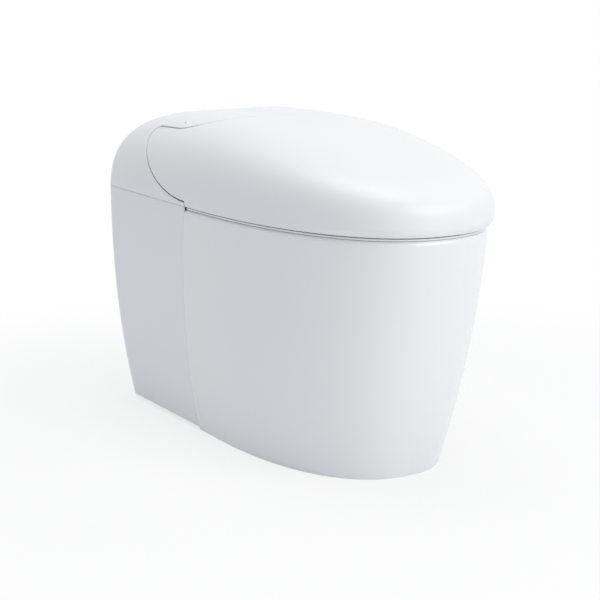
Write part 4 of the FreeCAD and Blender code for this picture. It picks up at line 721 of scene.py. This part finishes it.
def dome_grid(s, low, high, count):
    """Rows of dome points from the lower to the upper limit of each ray, for both halves."""
    t = even_rows(s, low, high, count).T
    right = dome_point(s[None, :] + 0 * t, t)
    return [both_halves(right)] if s[-1] > 3.999 else [right, (right * [-1, 1, 1])[:, ::-1]]


def both_halves(right):
    """A grid that ends in the middle of the nose, and its mirror image beyond."""
    return np.concatenate([right, (right * [-1, 1, 1])[:, -2::-1]], 1)


def lid_grids():
    """The lid's outer surface. Up to the split each row is a level that runs from the joint round the
    nose; above it each column is a ray, from the split or the arc up to the tongue."""
    back = -sizes().lid_gap
    rise = low_levels(back)
    start = joint_turn(rise, back)
    share = (even_turns(start[-1], 4, 150) - start[-1]) / (4 - start[-1])
    s = start[:, None] + (4 - start[:, None]) * share
    lower = both_halves(dome_point(s, t_at(s, rise[:, None] + 0 * s)))
    end, end_t = ear_end(back)
    ear = closing(end, start[-1], 90)[:-1]
    s = np.concatenate([ear, s[-1]])
    low, high = lid_span(s, back)[:2]
    low[0] = high[0] = end_t
    low[len(ear):] = t_at(s[len(ear):], SPLIT)
    return dome_grid(s, low, high, 90) + [lower]


def housing_grids():
    """The housing's outer surface: rays from the tongue, ear or rear up to the pole, rays from the
    split up to the ear's arc, and levels below the split from the rear window to the joint."""
    end, end_t = ear_end(0.0)
    rise = low_levels(0.0)
    stop = joint_turn(rise, 0.0)
    one = 1 + 0 * rise
    window = WINDOW_HALF_WIDTH / dome_point(one, t_at(one, rise))[:, 0]
    rear = np.concatenate([np.linspace(0, window[-1], 8)[:-1], even_turns(window[-1], end, 60)])
    ear = closing(end, stop[-1], 90)[1:]
    s = np.concatenate([rear, ear, even_turns(stop[-1], 4, 60)[1:]])
    low, high = lid_span(s, 0.0)[:2]
    low, high = np.where(s <= end, end_t, low), np.where(s <= end, end_t, high)
    upper = dome_grid(s, high, 0 * s + np.pi / 2, 70)
    s, top = s[s <= stop[-1]], low[s <= stop[-1]]
    foot = t_at(s, SPLIT)
    top[-1] = foot[-1]
    middle = dome_grid(s, foot, top, 34)
    share = (s[7:] - window[-1]) / (stop[-1] - window[-1])
    s = window[:, None] + (stop - window)[:, None] * share
    lower = dome_point(s, t_at(s, rise[:, None] + 0 * s))
    return upper + middle + [lower, (lower * [-1, 1, 1])[:, ::-1]]


def glaze_grids():
    """The skirt from the floor up, rounded over to the rim by a quarter ellipse and on inward along
    the flat rim. Each level runs from the joint with the side panel round the nose, and the joint
    is a straight line from foot to top."""
    rim = sizes().rim_level
    turn = np.linspace(0, np.pi / 2, 10)
    shoulder = rim - GLAZE_ROUND_HEIGHT
    inner = np.linspace(GLAZE_ROUND_WIDTH, GLAZE_ROUND_WIDTH + GLAZE_ON_RIM, 6)[1:]
    level = np.concatenate([np.linspace(0, shoulder, 70)[:-1],
                            shoulder + GLAZE_ROUND_HEIGHT * np.sin(turn), rim + 0 * inner])[:, None]
    inset = np.concatenate([np.zeros(69), GLAZE_ROUND_WIDTH * (1 - np.cos(turn)), inner])[:, None]
    start = skirt_turn(skirt_joint(level), level, inset)
    s = np.concatenate([start + (3 - start) * np.linspace(0, 1, 9)[:-1],
                        3 + 0 * start + np.linspace(0, 1, 120)], 1)
    x, y = skirt_plan(s, level + 0 * s, inset + 0 * s)
    right = np.stack([x, y, level + 0 * s], -1)
    right[:, -1, 0] = 0
    return [both_halves(right)]


def panel_grid():
    """A side panel: the skirt's form behind the joint, from the flat rear beside the works round the
    corner and along the side."""
    level = np.linspace(PANEL_LIFT, sizes().seam_level - PANEL_TOP_GAP, 60)[:, None]
    stop = skirt_turn(skirt_joint(level) + PANEL_GAP, level)
    flat = skirt_plan(1 + 0 * level, level)[0]
    round_corner = 2 - 2 / np.pi * np.arccos(np.clip((PANEL_INNER - flat) / SKIRT_CORNER, 0, 1))
    first = np.where(flat > PANEL_INNER, PANEL_INNER / flat, round_corner)
    s = np.concatenate([first + (2 - first) * np.linspace(0, 1, 24)[:-1],
                        2 + (stop - 2) * np.linspace(0, 1, 40)], 1)
    x, y = skirt_plan(s, level + 0 * s)
    return np.stack([x, y, level + 0 * s], -1)


def rounded_square(turn):
    """Across and upward shares of a superellipse of the fourth power."""
    across, upward = np.cos(turn), np.sin(turn)
    return np.sign(across) * np.sqrt(np.abs(across)), np.sign(upward) * np.sqrt(np.abs(upward))


def seat_edge_grid():
    """The seat's soft lower edge: a strip, a superellipse in section, below the seat, which follows
    the skirt's outline at the rim from one rear end round the nose to the other."""
    across, upward = rounded_square(np.linspace(2 * np.pi, 0, 25)[:, None])
    rim = sizes().rim_level
    side = np.linspace(2.5, 4, 3000)
    start = np.interp(-EDGE_REAR, -skirt_plan(side, rim + 0 * side)[1], side)
    s = np.concatenate([start + (3.001 - start) * np.linspace(0, 1, 4)[:-1],
                        3.001 + 0.999 * np.linspace(0, 1, 150)]) + 0 * across
    x, y = skirt_plan(s, rim + 0 * s, EDGE_INSET - EDGE_HALF_WIDTH * across + 0 * s)
    return both_halves(np.stack([x, y, rim + EDGE_LEVEL + EDGE_HALF_HEIGHT * upward + 0 * s], -1))


def lens_grid(skin):
    """A flat dome set square in the skin at the indicator's place: rings whose height falls with the
    square of the radius, and a short stem below."""
    low, high = np.array(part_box("indicator_lens"))
    radius = (high[0] - low[0]) / 2
    bpy.context.view_layer.update()
    _, spot, normal, _ = skin.ray_cast((*(low[:2] + high[:2]) / 2, 1), (0, 0, -1))
    across = normal.cross(Vector((0, 1, 0))).normalized()
    along = normal.cross(across)
    turn = np.linspace(0, 2 * np.pi, 33)[:, None]
    ring = radius * np.array([0.0, 0.3, 0.55, 0.78, 0.94, 1.0, 1.0, 0.0])[:, None, None]
    height = LENS_RISE * (1 - (ring / radius) ** 2)
    height[-2:] = -LENS_STEM
    round_it = np.cos(turn) * np.array(across) + np.sin(turn) * np.array(along)
    return np.array(spot) + ring * round_it + (height + 0 * turn) * np.array(normal)


# ---------------------------------------------------------------- operators


class BuildBowl(bpy.types.Operator):
    """The ceramic casting from the frame under a smooth skin of glaze over its skirt and rim"""
    bl_idname = "toilet.bowl"
    bl_label = "Bowl"

    def execute(self, context):
        merged_copy("bowl_casting", "bowl")
        shell_piece("bowl_glaze", glaze_grids(), (0, -0.05, 0.2), "toilet", [], "ceramic", **GLAZE)
        return {"FINISHED"}


class BuildLid(bpy.types.Operator):
    """The lid's moulding with hubs and posts, under its smooth outer skin"""
    bl_idname = "toilet.lid"
    bl_label = "Lid"

    def execute(self, context):
        merged_copy("lid_moulding", "lid", centre=(0, 0, 0.3))
        shell_piece("lid_skin", lid_grids(), (0, 0, 0.3), "lid", [], "shell", **SKIN)
        return {"FINISHED"}


class BuildHousing(bpy.types.Operator):
    """The rear housing under its smooth outer skin, and the indicator's lens"""
    bl_idname = "toilet.housing"
    bl_label = "Housing"

    def execute(self, context):
        merged_copy("housing_moulding", "housing_cover", centre=(0, 0.16, 0.3))
        skin = shell_piece("housing_skin", housing_grids(), (0, 0.16, 0.3), "toilet", [], "shell", **SKIN)
        points, quads = joined([lens_grid(skin)])
        points, quads, triangles = welded(points, quads)
        quads, triangles = outwards(points, quads, triangles, points.mean(0))
        piece("lens_dome", points, [quads], [triangles], "toilet", ["indicator_lens"], "lens")
        return {"FINISHED"}


class BuildPanels(bpy.types.Operator):
    """The two side panels over the rear of the pedestal"""
    bl_idname = "toilet.panels"
    bl_label = "Side panels"

    def execute(self, context):
        right = panel_grid()
        for side, grid in (("right", right), ("left", right * [-1, 1, 1])):
            shell_piece("panel_" + side, [grid], (0, 0.2, 0.2), "toilet", ["side_panel_" + side], "shell",
                        sizes().panel_wall, sizes().lip_roll)
        return {"FINISHED"}


class BuildSeat(bpy.types.Operator):
    """The seat with its arms, base plate, heater mat, bumpers and spindle"""
    bl_idname = "toilet.seat"
    bl_label = "Seat"

    def execute(self, context):
        for node in ("seat", "seat_base", "seat_heater", "seat_bumpers", "seat_spindle"):
            merged_copy(node + "_part", node, 40.0)
        points, quads, triangles = capped(seat_edge_grid())
        piece("seat_lip", points, [quads], [triangles], "seat", [], "seat_white")
        return {"FINISHED"}


class BuildWorks(bpy.types.Operator):
    """Everything inside: hinge, wand, dryer, deodorizer, heater, tank, pump, pipes and electronics"""
    bl_idname = "toilet.works"
    bl_label = "Works"

    def execute(self, context):
        for node in sorted(NODES):
            if not NODES[node].hide_render:
                merged_copy(node + "_part", node)
        return {"FINISHED"}


class BuildStage(bpy.types.Operator):
    """Pale floor, soft lamps, even sky light and the camera at the photograph's angle"""
    bl_idname = "toilet.stage"
    bl_label = "Stage"

    def execute(self, context):
        make_floor()
        make_world()
        make_lamps()
        make_camera()
        return {"FINISHED"}


# ---------------------------------------------------------------- stage


FLOOR_RADIUS, FLOOR_SIDES = 9.0, 96
FLOOR_COLOUR = (0.92, 0.925, 0.935, 1)
FADE_FROM, FADE_TO, WHITE_NEAR = 0.45, 1.3, 0.72


def any_ray(nodes, links, *kinds):
    """One where a ray is of one of the kinds, and nought elsewhere."""
    path = nodes.new("ShaderNodeLightPath")
    seen = path.outputs["Is %s Ray" % kinds[0]]
    for kind in kinds[1:]:
        larger = nodes.new("ShaderNodeMath")
        larger.operation = "MAXIMUM"
        links.new(seen, larger.inputs[0])
        links.new(path.outputs["Is %s Ray" % kind], larger.inputs[1])
        seen = larger.outputs[0]
    return seen


def make_floor():
    """A flat disc; to the camera it fades from lit floor near the toilet to plain white."""
    turn = np.linspace(0, 2 * np.pi, FLOOR_SIDES + 1)[:-1]
    edge = FLOOR_RADIUS * np.stack([np.cos(turn), np.sin(turn), 0 * turn], -1)
    ring = np.arange(1, FLOOR_SIDES + 1)
    triangles = np.stack([0 * ring, ring, np.roll(ring, -1)], -1)
    mesh = bpy.data.meshes.new("floor")
    mesh.from_pydata([(0, 0, 0)] + edge.tolist(), [], triangles.tolist())
    floor = bpy.data.objects.new("floor", mesh)
    bpy.context.scene.collection.objects.link(floor)
    material = bpy.data.materials.new("pale_floor")
    material.use_nodes = True
    nodes, links = material.node_tree.nodes, material.node_tree.links
    nodes.clear()
    lit = nodes.new("ShaderNodeBsdfDiffuse")
    lit.inputs["Color"].default_value = FLOOR_COLOUR
    glow = nodes.new("ShaderNodeEmission")
    glow.inputs["Color"].default_value = (1, 1, 1, 1)
    reach = nodes.new("ShaderNodeVectorMath")
    reach.operation = "LENGTH"
    links.new(nodes.new("ShaderNodeTexCoord").outputs["Object"], reach.inputs[0])
    fade = nodes.new("ShaderNodeMapRange")
    fade.interpolation_type = "SMOOTHSTEP"
    fade.inputs["From Min"].default_value = FADE_FROM
    fade.inputs["From Max"].default_value = FADE_TO
    fade.inputs["To Min"].default_value = WHITE_NEAR
    fade.inputs["To Max"].default_value = 1.0
    links.new(reach.outputs["Value"], fade.inputs["Value"])
    white = nodes.new("ShaderNodeMath")
    white.operation = "MULTIPLY"
    links.new(any_ray(nodes, links, "Camera", "Glossy", "Transmission"), white.inputs[0])
    links.new(fade.outputs["Result"], white.inputs[1])
    mix = nodes.new("ShaderNodeMixShader")
    links.new(white.outputs[0], mix.inputs["Fac"])
    links.new(lit.outputs[0], mix.inputs[1])
    links.new(glow.outputs[0], mix.inputs[2])
    links.new(mix.outputs[0], nodes.new("ShaderNodeOutputMaterial").inputs["Surface"])
    mesh.materials.append(material)


def make_world():
    """Even, slightly cool light; the camera, gloss and glass see plain white."""
    world = bpy.data.worlds.new("studio")
    bpy.context.scene.world = world
    world.use_nodes = True
    nodes, links = world.node_tree.nodes, world.node_tree.links
    nodes.clear()
    sky = nodes.new("ShaderNodeBackground")
    sky.inputs["Color"].default_value = SKY_COLOUR
    sky.inputs["Strength"].default_value = SKY_LIGHT
    white = nodes.new("ShaderNodeBackground")
    white.inputs["Color"].default_value = (1, 1, 1, 1)
    mix = nodes.new("ShaderNodeMixShader")
    links.new(any_ray(nodes, links, "Camera", "Transmission", "Glossy"), mix.inputs["Fac"])
    links.new(sky.outputs[0], mix.inputs[1])
    links.new(white.outputs[0], mix.inputs[2])
    links.new(mix.outputs[0], nodes.new("ShaderNodeOutputWorld").inputs["Surface"])


SKY_COLOUR = (0.92, 0.95, 1.0, 1)
SKY_LIGHT = 0.56
LAMP_COLOUR = (1.0, 0.97, 0.915)
AIM = Vector((0, 0, 0.25))
# name, place, width, power
LAMPS = (("key_lamp", (1.0, -3.1, 2.1), 3.0, 55.0), ("top_lamp", (-0.1, 0.3, 3.2), 2.4, 29.0))


def make_lamps():
    """Two wide discs, one to the front right and one above, that look at the toilet's middle."""
    for name, spot, width, power in LAMPS:
        light = bpy.data.lights.new(name, "AREA")
        light.shape = "DISK"
        light.size = width
        light.energy = power
        light.color = LAMP_COLOUR
        lamp = bpy.data.objects.new(name, light)
        lamp.location = spot
        lamp.rotation_mode = "QUATERNION"
        lamp.rotation_quaternion = (Vector(spot) - AIM).to_track_quat("Z", "Y")
        lamp.visible_camera = False
        bpy.context.scene.collection.objects.link(lamp)


CAMERA_PLACE = (-1.43106, -2.35726, 0.82262)
CAMERA_AZIMUTH, CAMERA_ELEVATION, CAMERA_LENS = -30.82, 12.01, 97.88


def make_camera():
    """The camera at the photograph's place, level, with a long lens."""
    azimuth, elevation = math.radians(CAMERA_AZIMUTH), math.radians(CAMERA_ELEVATION)
    back = Vector((math.sin(azimuth) * math.cos(elevation), -math.cos(azimuth) * math.cos(elevation),
                   math.sin(elevation)))
    data = bpy.data.cameras.new("camera")
    data.sensor_width = 36.0
    data.lens = CAMERA_LENS
    camera = bpy.data.objects.new("camera", data)
    camera.location = CAMERA_PLACE
    camera.rotation_mode = "QUATERNION"
    camera.rotation_quaternion = (-back).to_track_quat("-Z", "Y")
    bpy.context.scene.collection.objects.link(camera)
    bpy.context.scene.camera = camera


# ---------------------------------------------------------------- panel and start

STEPS = (BuildBowl, BuildLid, BuildHousing, BuildPanels, BuildSeat, BuildWorks, BuildStage)


class ToiletPanel(bpy.types.Panel):
    """Lists the build steps and the sizes and finishes"""
    bl_idname = "VIEW3D_PT_toilet"
    bl_label = "Toilet"
    bl_space_type = "VIEW_3D"
    bl_region_type = "UI"
    bl_category = "Toilet"

    def draw(self, context):
        column = self.layout.column(align=True)
        for step in STEPS:
            column.operator(step.bl_idname)
        for group in (context.scene.toilet_sizes, context.scene.toilet_finish):
            box = self.layout.box()
            for name in group.__annotations__:
                box.prop(group, name)


CLASSES = (ToiletSizes, ToiletFinish) + STEPS + (ToiletPanel,)


def register():
    """Add the classes and hang both groups of values on the scene."""
    for item in CLASSES:
        bpy.utils.register_class(item)
    bpy.types.Scene.toilet_sizes = bpy.props.PointerProperty(type=ToiletSizes)
    bpy.types.Scene.toilet_finish = bpy.props.PointerProperty(type=ToiletFinish)


def unregister():
    """Take the classes and both groups away again."""
    del bpy.types.Scene.toilet_finish
    del bpy.types.Scene.toilet_sizes
    for item in reversed(CLASSES):
        bpy.utils.unregister_class(item)


def main():
    """Build every group."""
    register()
    bpy.context.scene.view_settings.view_transform = "Standard"
    bpy.ops.toilet.bowl()
    bpy.ops.toilet.lid()
    bpy.ops.toilet.housing()
    bpy.ops.toilet.panels()
    bpy.ops.toilet.seat()
    bpy.ops.toilet.works()
    bpy.ops.toilet.stage()


if __name__ == "__main__":
    main()
